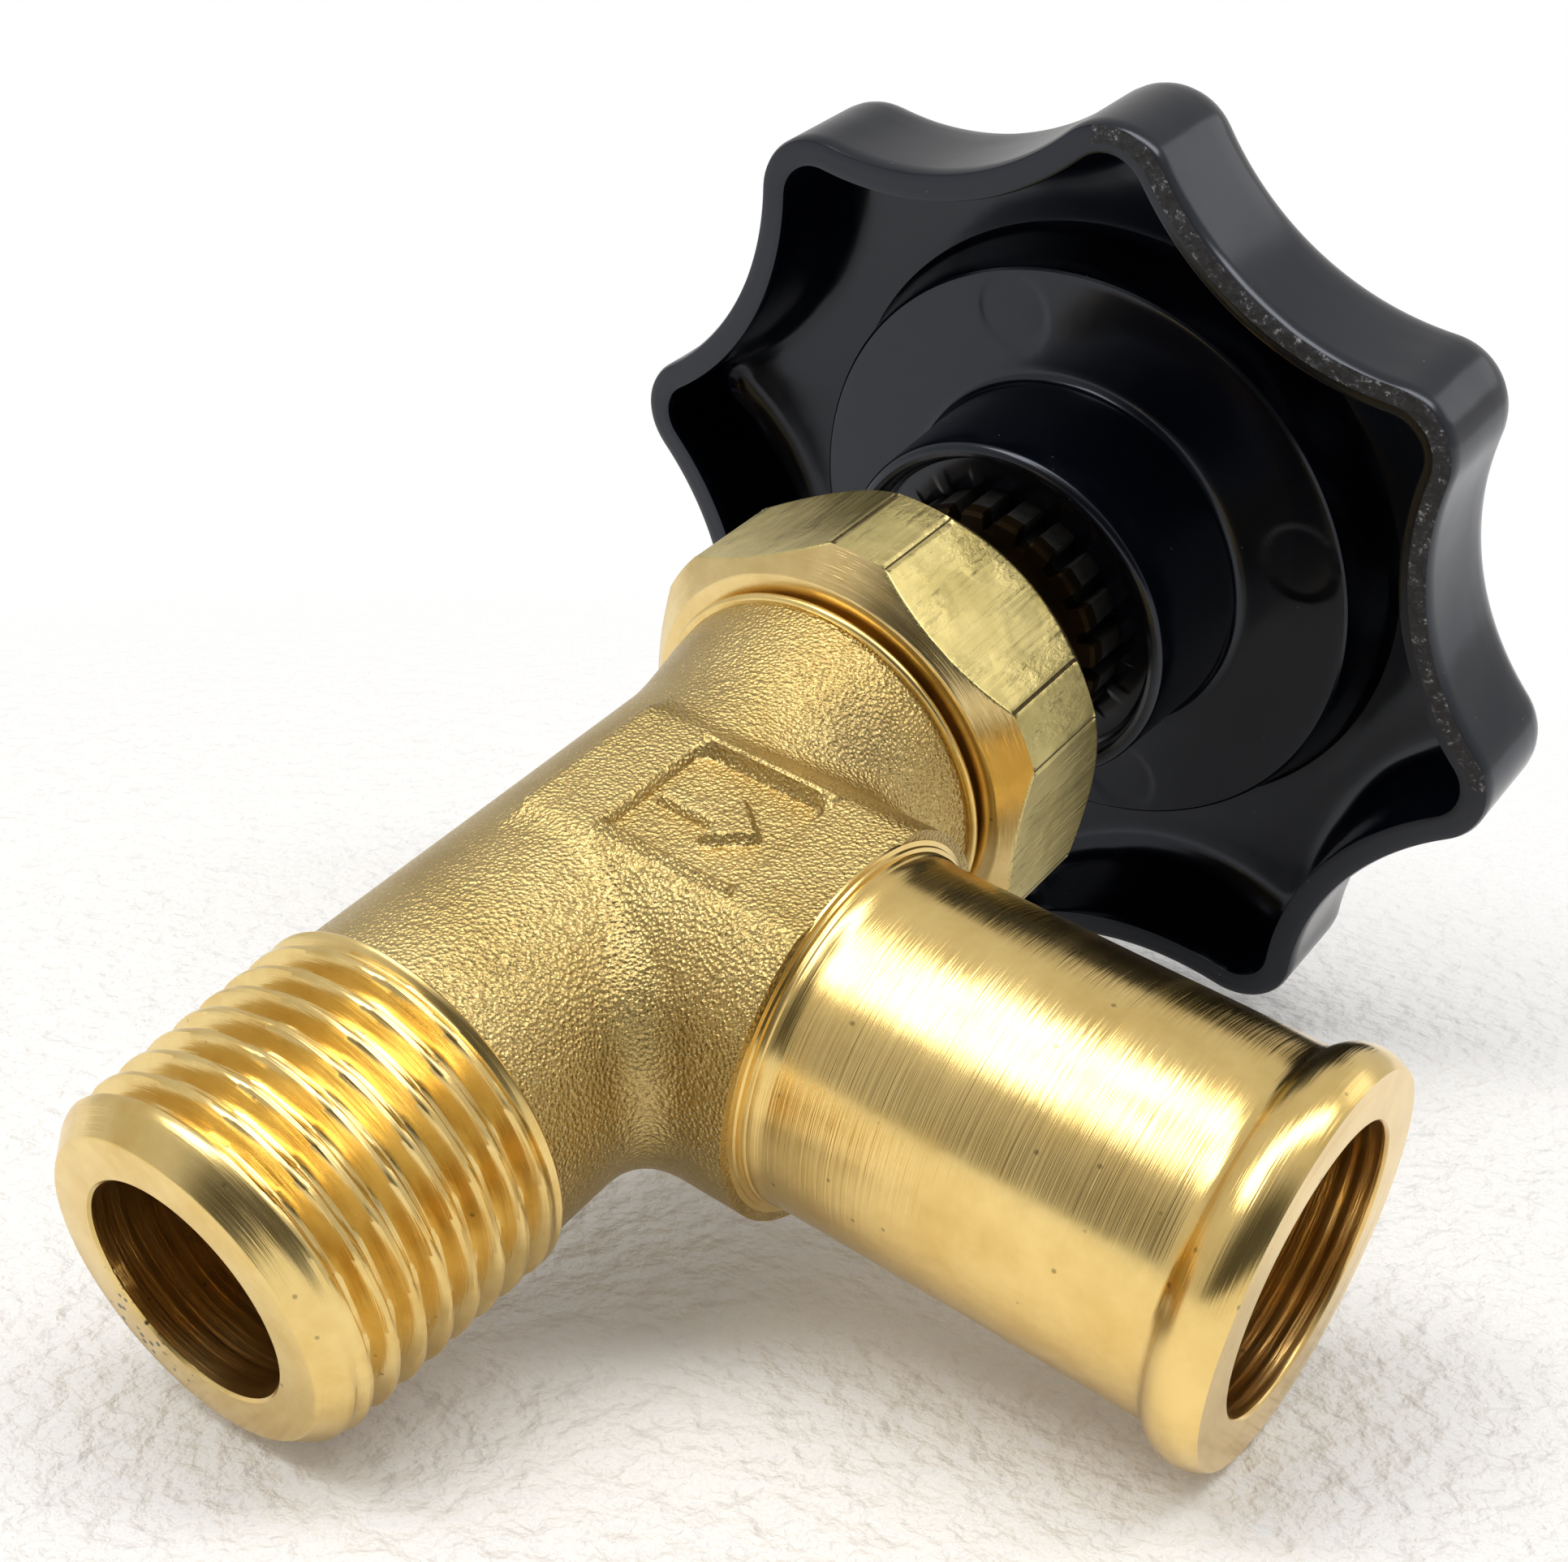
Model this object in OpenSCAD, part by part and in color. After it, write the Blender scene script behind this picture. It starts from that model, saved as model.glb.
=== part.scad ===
// Angle valve with a male taper-thread inlet, a beaded hose outlet and an eight-lobed handwheel.
// The origin is the centre of the inlet end face. +Z runs along the stem to the handwheel,
// +X runs out of the hose outlet. The valve stands fully open: it closes by travel_mm downwards.

/* [Inlet] */
// Pitch of the taper pipe thread, 18 threads to the inch
inlet_pitch = 1.411; // [1.2:0.001:1.8]
// Length of the threaded end
inlet_length = 12.4; // [11:0.1:14]
// Crest radius of the thread at the end face
inlet_crest_r = 8.25; // [8:0.05:8.6]
// Radius of the inlet bore
inlet_bore_r = 5.2; // [4:0.1:5.3]

/* [Body] */
// Radius of the forged barrel
barrel_r = 8.15; // [8:0.05:8.5]
// Height of the outlet axis above the inlet face
outlet_z = 27.45; // [27.3:0.05:27.8]
// Radius of the forged boss behind the hose spigot
boss_r = 9.35; // [9.1:0.05:9.8]
// Distance from the stem axis to the boss end face
boss_x = 12.1; // [11:0.1:14]
// Distance from the stem axis to each flat pad on the boss
pad_y = 8.35; // [8.2:0.05:8.8]
// Depth of the sunk pocket in the front pad
pocket_depth = 0.35; // [0.1:0.05:0.5]

/* [Hose outlet] */
// Outside radius of the hose spigot
spigot_r = 8.27; // [7.9:0.01:8.4]
// Radius of the outlet bore
outlet_bore_r = 6.45; // [6.2:0.05:6.5]
// Radius of the cored passage between the outlet bore and the chamber
port_r = 6; // [5.5:0.05:6.1]
// Distance from the stem axis to where the outlet bore starts
outlet_bore_x = 12.4; // [12:0.1:14]
// Distance from the stem axis to the outlet end face
outlet_x = 34.1; // [30:0.1:45]
// Radius of the round section of the hose bead
bead_section_r = 1.93; // [1.7:0.01:2.1]
// Outside radius of the hose bead
bead_r = 9.15; // [9:0.01:9.4]

/* [Bonnet nut] */
// Width across the flats of the hexagon
nut_flats = 22; // [21.5:0.1:23]
// Radius to which the hexagon's corners are turned
nut_corner_r = 11.9; // [11.5:0.05:12.2]
// Height of the nut's lower face
nut_z = 41.7; // [41.6:0.05:41.8]
// Height of the nut
nut_height = 8.2; // [7.9:0.1:8.5]

/* [Stem] */
// Travel from fully open to closed on the seat
travel_mm = 5; // [4.5:0.1:5]
// Crest radius of the stem's operating thread
stem_thread_r = 5; // [4.8:0.05:5]
// Pitch of the operating thread
stem_pitch = 2; // [1.5:0.25:2.5]
// Radius of the plain shank that runs through the packing
shank_r = 4; // [3.8:0.05:4]
// Radius over the teeth of the splined head
spline_r = 7; // [6.6:0.05:7.2]
// Number of teeth on the splined head
spline_teeth = 20; // [16:1:24]

/* [Handwheel] */
// Number of lobes
lobes = 8; // [6:1:10]
// Radius over the tips of the lobes
tip_r = 27.25; // [26:0.25:29]
// Radius at the bottom of the valleys between lobes
valley_r = 23.3; // [22.5:0.1:24]
// Radius of the rounded tip of one lobe
tip_arc_r = 3.65; // [3.2:0.05:4]
// Thickness of the rim wall
wheel_wall = 1.75; // [1.4:0.05:2]
// Height of the rim's open edge
rim_z = 61.15; // [60.5:0.05:62]
// Height of the top of the dome
dome_z = 73.2; // [73:0.1:73.4]
// Radius of the hub below the wheel
hub_r = 10.1; // [9.9:0.05:10.4]
// Height of the hub's open end
hub_z = 57.6; // [57.2:0.1:58]
// Turn of the lobes about the stem
wheel_phase = 5.1; // [0:0.1:45]

/* [Hidden] */
$fn = 96;
eps = 0.01;
fit = 0.05;                  // radial running clearance
taper = 1 / 32;              // radius gained per length of a taper pipe thread
inlet_depth = 0.72 * inlet_pitch;
thread_rings = floor((inlet_length - 1.1) / inlet_pitch);
body_seam = 110;             // away from the planes through the stem axis and the outlet

seat_z = 20.9;               // top of the seat lip
chamber_r = 6.6;
chamber_floor = 20.2;
lip_r = 5.75;
gasket_z = 36;               // ledge that carries the gasket
bore_top_r = 7.4;            // counterbore that holds the bonnet and the packing
body_top = 46.5;
neck_r = 9;                  // crest radius of the thread under the nut
collar_z = 40.95;            // top of the rough barrel, where turning starts
collar_r = 9.55;

gasket_t = 0.8;
bonnet_z = gasket_z + gasket_t;
skirt_z = 33;
skirt_r = 6.4;
bonnet_top = 42.6;
insert_r = bore_top_r - fit; // outside radius of what sits in the counterbore
washer_t = 0.6;
ring_t = 1.5;
packing_z = bonnet_top + washer_t;
gland_z = packing_z + 2 * ring_t;
gland_top = 48;

disc_z = seat_z + travel_mm; // underside of the rubber with the valve open
disc_r = 6.1;
rubber_t = 2.5;
rubber_r = 5.5;
plate_t = 0.4;
holder_z = disc_z + rubber_t;
holder_t = 1.2;
sleeve_r = 4.4;
sleeve_top = disc_z + 7.2;
socket_z = holder_z + 1.9;
socket_r = 3.2;
small_screw_r = 1.5;
button_z = socket_z + 0.1;
button_t = 1.4;
button_r = 3.1;
neck_pin_r = 2.3;
clip_z = sleeve_top - 1.1;
clip_t = 0.6;
clip_r = 3.6;

thread_z = sleeve_top + 0.25;
thread_top = bonnet_top - 0.2;
head_z = 56.1;
head_top = 64.6;
tooth_gap = 0.8;
tooth_depth = 0.9;
tapped_r = 2;

web_top = 67.7;              // floor of the round recess in the wheel's top
dome_r = 85;
floor_t = 2;
disc_face_z = 65.3;
disc_face_r = 16.8;
disc_root_r = 17.7;
recess_r = 15.3;
socket_start = 61.2;
cap_rise = 0.5;
cap_t = 1.4;

brass = [0.80, 0.62, 0.27];
bright_brass = [0.86, 0.72, 0.40];
black_plastic = [0.06, 0.06, 0.08];

function polar(r, a) = [r * cos(a), r * sin(a)];
function arc(centre, r, from, to, steps) =
    [for (i = [0 : steps]) centre + polar(r, from + (to - from) * i / steps)];

// Rings of a thread as [radius, height] points, from the bottom crest upwards.
function thread_points(crest, depth, pitch, rings, start, slope) =
    [for (i = [0 : rings - 1], step = [[0.1, depth], [0.42, 0], [0.58, 0], [0.9, depth]])
        let (z = start + (i + step[0]) * pitch) [crest + slope * z - step[1], z]];

// seam turns the revolved solid, which moves only the line where its faces join themselves.
module turned(points, seam = 0) {
    rotate(seam)
        rotate_extrude()
            polygon(points);
}

module turned_on_x(points) {
    translate([0, 0, outlet_z])
        rotate([0, 90, 0])
            turned(points);
}

module ring(inner, outer, bottom, height) {
    translate([0, 0, bottom])
        difference() {
            cylinder(r = outer, h = height);
            translate([0, 0, -1])
                cylinder(r = inner, h = height + 2);
        }
}

module disc(r, bottom, height) {
    translate([0, 0, bottom])
        cylinder(r = r, h = height);
}

// ---- Body ----

module barrel() {
    end_r = inlet_crest_r + taper * inlet_length;
    turned(concat(
        [[0, 0], [inlet_crest_r - 1, 0], [inlet_crest_r - inlet_depth + 0.15, 0.9]],
        thread_points(inlet_crest_r, inlet_depth, inlet_pitch, thread_rings, 1.1, taper),
        [[end_r, inlet_length - 0.1], [end_r, inlet_length], [barrel_r, inlet_length + 0.4],
            [barrel_r, gasket_z], [barrel_r + 0.9, collar_z - 0.9], [barrel_r + 1.05, collar_z],
            [collar_r, collar_z], [collar_r, collar_z + 0.45], [neck_r - 0.4, collar_z + 0.45],
            [neck_r - 0.4, nut_z + 0.3], [neck_r, nut_z + 0.7], [neck_r, body_top - 0.5],
            [neck_r - 0.5, body_top], [0, body_top]]), seam = body_seam);
}

// The boss starts behind the stem axis, so that its two flats run on past the side of the barrel.
module boss() {
    intersection() {
        turned_on_x([[0, -2], [boss_r, -2], [boss_r, boss_x], [spigot_r + 0.5, boss_x],
            [spigot_r + 0.5, boss_x + 0.4], [0, boss_x + 0.4]]);
        translate([-3, -pad_y, outlet_z - boss_r - 1])
            cube([boss_x + 4, 2 * pad_y, 2 * boss_r + 2]);
    }
}

module spigot() {
    centre_r = bead_r - bead_section_r;
    centre_x = outlet_x - 1.2;
    start_angle = asin((spigot_r - centre_r) / bead_section_r);
    end_angle = acos(1.2 / bead_section_r);
    turned_on_x(concat(
        [[0, 0], [spigot_r, 0]],
        [for (p = arc([0, 0], bead_section_r, 180 - start_angle, end_angle, 12))
            [centre_r + p[1], centre_x + p[0]]],
        [[0, outlet_x]]));
}

module flow_arrow() {
    linear_extrude(height = pocket_depth - 0.1)
        polygon([[-2.6, -0.5], [0.6, -0.5], [0.6, -1.4], [2.6, 0], [0.6, 1.4], [0.6, 0.5], [-2.6, 0.5]]);
}

module pad_pocket() {
    pocket = [7.3, 6.6];
    translate([4.6, -pad_y, outlet_z])
        rotate([90, 0, 0])
            difference() {
                translate([-pocket[0] / 2, -pocket[1] / 2, -pocket_depth])
                    cube([pocket[0], pocket[1], 1]);
                translate([0, 0, -pocket_depth])
                    flow_arrow();
            }
}

module valve_body() {
    color(brass)
        difference() {
            union() {
                barrel();
                boss();
                spigot();
            }
            turned([[0, -1], [inlet_bore_r, -1], [inlet_bore_r, seat_z], [lip_r, seat_z],
                [lip_r + 0.25, chamber_floor], [chamber_r, chamber_floor], [chamber_r, gasket_z],
                [bore_top_r, gasket_z], [bore_top_r, body_top + 1], [0, body_top + 1]], seam = body_seam);
            turned_on_x([[0, 0], [port_r, 0], [port_r, outlet_bore_x], [outlet_bore_r, outlet_bore_x],
                [outlet_bore_r, outlet_x + 1], [0, outlet_x + 1]]);
            pad_pocket();
        }
}

// ---- Bonnet, packing and nut ----

module bonnet_gasket() {
    color([0.35, 0.20, 0.13])
        ring(skirt_r + fit, insert_r, gasket_z, gasket_t);
}

module bonnet() {
    bore = stem_thread_r + fit;
    color(brass)
        turned([[bore, skirt_z], [skirt_r, skirt_z], [skirt_r, bonnet_z], [insert_r, bonnet_z],
            [insert_r, bonnet_top], [bore, bonnet_top]]);
}

module packing_washer() {
    color(bright_brass)
        ring(shank_r + fit, insert_r, bonnet_top, washer_t);
}

module lower_packing_ring() {
    color("white")
        ring(shank_r + 0.02, insert_r, packing_z, ring_t);
}

module upper_packing_ring() {
    color("white")
        ring(shank_r + 0.02, insert_r, packing_z + ring_t, ring_t);
}

module packing_gland() {
    color(bright_brass)
        ring(shank_r + fit, insert_r, gland_z, gland_top - gland_z);
}

module dust_ring() {
    section = 0.45;
    color([0.08, 0.08, 0.08])
        translate([0, 0, gland_top + 0.85])
            rotate_extrude()
                translate([shank_r + fit + section, 0])
                    circle(r = section);
}

module bonnet_nut() {
    top = nut_z + nut_height;
    hole = shank_r + 0.3;
    groove = shank_r + fit + 0.9;
    color(bright_brass)
        difference() {
            intersection() {
                rotate(33.7)
                    translate([0, 0, nut_z])
                        cylinder(r = nut_flats / 2 / cos(30), h = nut_height, $fn = 6);
                turned([[0, nut_z], [nut_corner_r - 1.6, nut_z], [nut_corner_r, nut_z + 1.3],
                    [nut_corner_r, top - 1.1], [nut_corner_r - 1.0, top - 0.15],
                    [nut_corner_r - 1.3, top], [0, top]]);
            }
            turned([[0, nut_z - 1], [neck_r + fit, nut_z - 1], [neck_r + fit, body_top + 0.4],
                [bore_top_r + 0.1, body_top + 0.4], [bore_top_r + 0.1, gland_top],
                [hole, gland_top], [hole, gland_top + 0.35], [groove, gland_top + 0.35],
                [groove, gland_top + 1.35], [hole, gland_top + 1.35], [hole, top + 1], [0, top + 1]]);
        }
}

// ---- Disc ----

module seat_washer() {
    color([0.1, 0.1, 0.1])
        ring(small_screw_r + 0.1, rubber_r, disc_z, rubber_t);
}

module washer_plate() {
    color(bright_brass)
        ring(small_screw_r + 0.1, 3.2, disc_z - plate_t, plate_t);
}

module washer_screw() {
    head_t = 1.2;
    head_bottom = disc_z - plate_t - head_t;
    color(bright_brass)
        difference() {
            union() {
                disc(2.6, head_bottom, head_t);
                disc(small_screw_r, head_bottom + head_t - eps, socket_z - 0.2 - head_bottom - head_t);
            }
            translate([-3, -0.3, head_bottom - 1])
                cube([6, 0.6, 1.6]);
        }
}

module disc_holder() {
    color(brass)
        turned([[small_screw_r, holder_z], [rubber_r + 0.02, holder_z],
            [rubber_r + 0.02, holder_z - 1.3], [disc_r, holder_z - 1.3], [disc_r, holder_z + holder_t],
            [sleeve_r, holder_z + holder_t], [sleeve_r, sleeve_top], [socket_r, sleeve_top],
            [socket_r, clip_z + clip_t + fit], [clip_r + fit, clip_z + clip_t + fit],
            [clip_r + fit, clip_z - fit], [socket_r, clip_z - fit], [socket_r, socket_z],
            [small_screw_r, socket_z]]);
}

module disc_retaining_ring() {
    color("silver")
        difference() {
            ring(neck_pin_r + fit, clip_r, clip_z, clip_t);
            translate([0, -0.7, clip_z - 1])
                cube([clip_r + 1, 1.4, clip_t + 2]);
        }
}

// ---- Stem ----

module splined(r, gap, bottom, top) {
    difference() {
        disc(r, bottom, top - bottom);
        for (i = [0 : spline_teeth - 1])
            rotate(i * 360 / spline_teeth)
                translate([r - tooth_depth, -gap / 2, bottom - 1])
                    cube([2 * tooth_depth, gap, top - bottom + 2]);
    }
}

module stem() {
    turns = floor((thread_top - thread_z) / stem_pitch);
    depth = stem_pitch / 2;
    color(brass)
        difference() {
            union() {
                turned(concat(
                    [[0, button_z], [button_r, button_z], [button_r, button_z + button_t],
                        [neck_pin_r, button_z + button_t], [neck_pin_r, thread_z],
                        [stem_thread_r - depth, thread_z]],
                    thread_points(stem_thread_r, depth, stem_pitch, turns, thread_z, 0),
                    [[stem_thread_r, thread_top - 0.2], [stem_thread_r, thread_top],
                        [shank_r, thread_top], [shank_r, head_z - 1], [5.6, head_z], [0, head_z]]));
                splined(spline_r, tooth_gap, head_z - eps, head_top);
            }
            disc(tapped_r, head_z + 1.4, head_top);
        }
}

// ---- Handwheel ----

// Outline of the lobed rim, moved inwards by inset. Tip arcs meet hollow valley arcs tangentially.
function lobed_outline(inset) =
    let (
        half = 180 / lobes,
        tip_c = tip_r - tip_arc_r,
        hollow_r = (tip_arc_r ^ 2 - tip_c ^ 2 - valley_r ^ 2 + 2 * tip_c * valley_r * cos(half))
            / (2 * (valley_r - tip_c * cos(half) - tip_arc_r)),
        hollow_c = valley_r + hollow_r,
        meet = atan2(hollow_c * sin(half), hollow_c * cos(half) - tip_c)
    )
    [for (i = [0 : lobes - 1])
        let (turn = wheel_phase + i * 2 * half)
        each concat(
            arc(polar(tip_c, turn), tip_arc_r - inset, turn - meet, turn + meet, 8),
            arc(polar(hollow_c, turn + half), hollow_r + inset, turn + 180 + meet - 0.5,
                turn + 180 + 2 * half - meet + 0.5, 8))];

module lobed_block(inset, bottom, dome_top) {
    intersection() {
        translate([0, 0, bottom])
            linear_extrude(height = dome_z - bottom + 1)
                polygon(lobed_outline(inset));
        translate([0, 0, dome_top - dome_r])
            sphere(r = dome_r, $fn = 360);
    }
}

module wheel_hollow() {
    difference() {
        lobed_block(wheel_wall, rim_z - 1, dome_z - floor_t);
        turned([[0, disc_face_z], [disc_face_r, disc_face_z], [disc_root_r, dome_z], [0, dome_z]]);
        disc(hub_r + 0.3, rim_z - 2, dome_z - rim_z);
    }
}

module handwheel() {
    color(black_plastic)
        difference() {
            union() {
                difference() {
                    lobed_block(0, rim_z, dome_z);
                    wheel_hollow();
                }
                turned([[0, hub_z], [hub_r - 0.3, hub_z], [hub_r, hub_z + 0.4], [hub_r + 0.3, disc_face_z],
                    [0, disc_face_z]]);
            }
            turned([[0, hub_z - 1], [hub_r - 0.9, hub_z - 1], [hub_r - 0.9, hub_z + 0.5],
                [hub_r - 1.4, socket_start], [0, socket_start]]);
            splined(spline_r + 0.03, tooth_gap - 0.06, socket_start - eps, head_top);
            disc(tapped_r + 0.6, head_top - 1, dome_z);
            disc(recess_r, web_top, dome_z);
        }
}

module wheel_flat_washer() {
    color("silver")
        ring(tapped_r + 0.2, 5, web_top, 0.8);
}

module wheel_spring_washer() {
    color("silver")
        difference() {
            ring(tapped_r + 0.2, 3.7, web_top + 0.8, 0.9);
            translate([0, 0, web_top])
                rotate(20)
                    cube([5, 0.5, 3]);
        }
}

module wheel_screw() {
    head_bottom = web_top + 1.7;
    head_t = 1.8;
    shank_l = 10;
    slot = [0.9, 4.6, 1];
    color("silver")
        difference() {
            union() {
                disc(3.7, head_bottom, head_t);
                disc(tapped_r - 0.03, head_bottom - shank_l, shank_l + eps);
            }
            for (a = [0, 90])
                rotate(a)
                    translate([-slot[0] / 2, -slot[1] / 2, head_bottom + head_t - slot[2]])
                        cube([slot[0], slot[1], slot[2] + 1]);
        }
}

module wheel_cap() {
    cap_r = recess_r - 0.1;
    cap_top = dome_z + cap_rise;
    dome = arc([0, cap_top - dome_r], dome_r, acos(cap_r / dome_r), 90, 8);
    inside = dome_z - cap_t - 0.4;
    color(black_plastic)
        turned(concat([[cap_r - 1.2, web_top], [cap_r, web_top]], dome,
            [[0, inside], [cap_r - 1.2, inside]]));
}

valve_body();
bonnet_gasket();
bonnet();
packing_washer();
lower_packing_ring();
upper_packing_ring();
packing_gland();
dust_ring();
bonnet_nut();
seat_washer();
washer_plate();
washer_screw();
disc_holder();
disc_retaining_ring();
stem();
handwheel();
wheel_flat_washer();
wheel_spring_washer();
wheel_screw();
wheel_cap();
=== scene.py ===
import math

import bpy
import numpy as np
from mathutils import Matrix, Vector


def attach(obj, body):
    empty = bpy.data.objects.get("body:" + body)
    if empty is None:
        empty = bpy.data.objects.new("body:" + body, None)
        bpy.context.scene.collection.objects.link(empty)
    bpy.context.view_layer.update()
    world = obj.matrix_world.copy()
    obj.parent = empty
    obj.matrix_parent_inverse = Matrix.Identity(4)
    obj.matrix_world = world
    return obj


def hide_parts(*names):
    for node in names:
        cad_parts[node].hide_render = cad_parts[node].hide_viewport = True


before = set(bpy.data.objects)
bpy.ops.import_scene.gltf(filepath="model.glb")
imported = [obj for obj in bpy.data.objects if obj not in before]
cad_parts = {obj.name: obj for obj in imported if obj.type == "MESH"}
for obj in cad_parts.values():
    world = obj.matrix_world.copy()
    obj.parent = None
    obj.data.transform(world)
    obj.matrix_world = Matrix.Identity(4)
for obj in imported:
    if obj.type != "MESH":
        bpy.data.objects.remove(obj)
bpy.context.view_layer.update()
print("frame loaded")

mm = 0.001  # pieces are shaped in millimetres, then brought to metres when finished


# camera and light
camera = {
    "place": (52.006, -71.229, -31.840),  # mm
    "right": (0.79913, -0.01068, 0.60107),
    "up": (-0.38380, -0.77861, 0.49644),
    "lens": 52.93,
    "clipStart": 0.004,
}

table = {
    "down": (0.1977, 0.9378, -0.2854),  # direction into the table that the valve lies on
    "distance": 7.74,  # mm from the origin to the table along that direction
    "size": 1.6,
    "white": "#F4F3F1",
    "fade": (0.05, 0.16),  # metres from the middle over which the foam turns plain white
}


def linear(hexCode):
    channels = [int(hexCode[i:i + 2], 16) / 255 for i in (1, 3, 5)]
    return [c / 12.92 if c <= 0.04045 else ((c + 0.055) / 1.055) ** 2.4 for c in channels] + [1.0]


def addNode(tree, kind, inputs=None, settings=None):
    # inputs are values or sockets by name or number, settings are the node's own properties
    node = tree.nodes.new(kind)
    for key, value in (settings or {}).items():
        if key == "stops":
            ramp = node.color_ramp.elements
            while len(ramp) < len(value):
                ramp.new(0.5)
            for element, (place, shade) in zip(ramp, value):
                element.position = place
                element.color = linear(shade) if isinstance(shade, str) else (shade, shade, shade, 1)
        else:
            setattr(node, key, value)
    for key, value in (inputs or {}).items():
        if isinstance(value, bpy.types.NodeSocket):
            tree.links.new(value, node.inputs[key])
        else:
            node.inputs[key].default_value = value
    return node


def deselectAll():
    bpy.ops.object.select_all(action="DESELECT")


deselectAll()

tableDown = Vector(table["down"]).normalized()
tableUp = -tableDown


def makeCamera():
    right = Vector(camera["right"]).normalized()
    up = Vector(camera["up"])
    up = (up - right * up.dot(right)).normalized()
    back = right.cross(up)
    turn = Matrix((right, up, back)).transposed().to_4x4()
    data = bpy.data.cameras.new("valveCamera")
    data.lens = camera["lens"]
    data.sensor_width = 36
    data.clip_start = camera["clipStart"]
    data.clip_end = 20
    holder = bpy.data.objects.new("valveCamera", data)
    holder.matrix_world = Matrix.Translation(Vector(camera["place"]) * mm) @ turn
    bpy.context.scene.collection.objects.link(holder)
    bpy.context.scene.camera = holder
    return back


cameraBack = makeCamera()
awayFromCamera = (-cameraBack - tableUp * (-cameraBack).dot(tableUp)).normalized()
tableSide = awayFromCamera.cross(tableUp)

studio = {
    "white": "#FFFDFB",
    "level": 0.68,  # brightness of the room in reflections
    "cameraSide": 0.07,  # brightness towards the camera, the unlit side of the room
    "dimming": (0.42, 0.82),  # cosines of the angle to the camera's side between which it dims
}


def makeWorld():
    # white studio: white to the eye, and for reflections an even pale room, dim on the camera's side
    world = bpy.data.worlds.new("studio")
    bpy.context.scene.world = world
    world.use_nodes = True
    tree = world.node_tree
    tree.nodes.clear()
    coords = addNode(tree, "ShaderNodeTexCoord")
    towards = addNode(tree, "ShaderNodeVectorMath", {0: coords.outputs["Generated"], 1: -awayFromCamera},
                      {"operation": "DOT_PRODUCT"})
    level = addNode(tree, "ShaderNodeMapRange", {"Value": towards.outputs["Value"],
                                                 "From Min": studio["dimming"][0],
                                                 "From Max": studio["dimming"][1],
                                                 "To Min": studio["level"],
                                                 "To Max": studio["cameraSide"]},
                    {"interpolation_type": "SMOOTHSTEP"})
    rays = addNode(tree, "ShaderNodeLightPath")
    room = addNode(tree, "ShaderNodeBackground", {"Color": linear(studio["white"]),
                                                  "Strength": level.outputs["Result"]})
    white = addNode(tree, "ShaderNodeBackground", {"Color": (1, 1, 1, 1), "Strength": 1.0})
    both = addNode(tree, "ShaderNodeMixShader", {0: rays.outputs["Is Camera Ray"], 1: room.outputs[0],
                                                 2: white.outputs[0]})
    addNode(tree, "ShaderNodeOutputWorld", {"Surface": both.outputs[0]})


makeWorld()


def addSoftbox(name, toward, distance, size, brightness, aim=(17, 0, 32)):
    # toward is a direction as (camera right, away from the camera along the table, table up)
    out = (tableSide * toward[0] + awayFromCamera * toward[1] + tableUp * toward[2]).normalized()
    across = (tableSide - out * tableSide.dot(out)).normalized()
    data = bpy.data.lights.new(name, "AREA")
    data.shape = "RECTANGLE"
    data.size, data.size_y = size
    data.energy = brightness * math.pi * size[0] * size[1]
    data.color = linear(studio["white"])[:3]
    lamp = bpy.data.objects.new(name, data)
    turn = Matrix((across, out.cross(across), out)).transposed().to_4x4()
    lamp.matrix_world = Matrix.Translation(Vector(aim) * mm + out * distance) @ turn
    bpy.context.scene.collection.objects.link(lamp)


addSoftbox("overheadStrip", (0.02, -0.12, 1.0), 0.42, (0.78, 0.12), 5.6)
addSoftbox("leftFrontBox", (-0.48, -0.33, 0.85), 0.45, (0.17, 0.12), 5.0)
addSoftbox("rightBox", (0.9, 0.35, 0.55), 0.5, (0.2, 0.2), 0.9)

bpy.context.scene.view_settings.view_transform = "Standard"
print("camera and lights made")


# materials
def newMaterial(name):
    material = bpy.data.materials.new(name)
    material.use_nodes = True
    tree = material.node_tree
    tree.nodes.clear()
    coords = addNode(tree, "ShaderNodeTexCoord")
    return material, tree, coords.outputs["Object"]


def inMillimetres(tree, coords, scale=(1, 1, 1), turn=(0, 0, 0), move=(0, 0, 0)):
    # object coordinates are metres, so a noise scale after this is cycles per millimetre
    node = addNode(tree, "ShaderNodeMapping", {"Vector": coords, "Scale": [1000 * s for s in scale],
                                               "Rotation": turn, "Location": move})
    return node.outputs["Vector"]


def finishMaterial(tree, inputs):
    shader = addNode(tree, "ShaderNodeBsdfPrincipled", inputs)
    addNode(tree, "ShaderNodeOutputMaterial", {"Surface": shader.outputs[0]})


forgingPatch = {"centre": (5.5, -6.8, 36.8), "inner": 2.6, "outer": 4.4}  # mm


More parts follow.
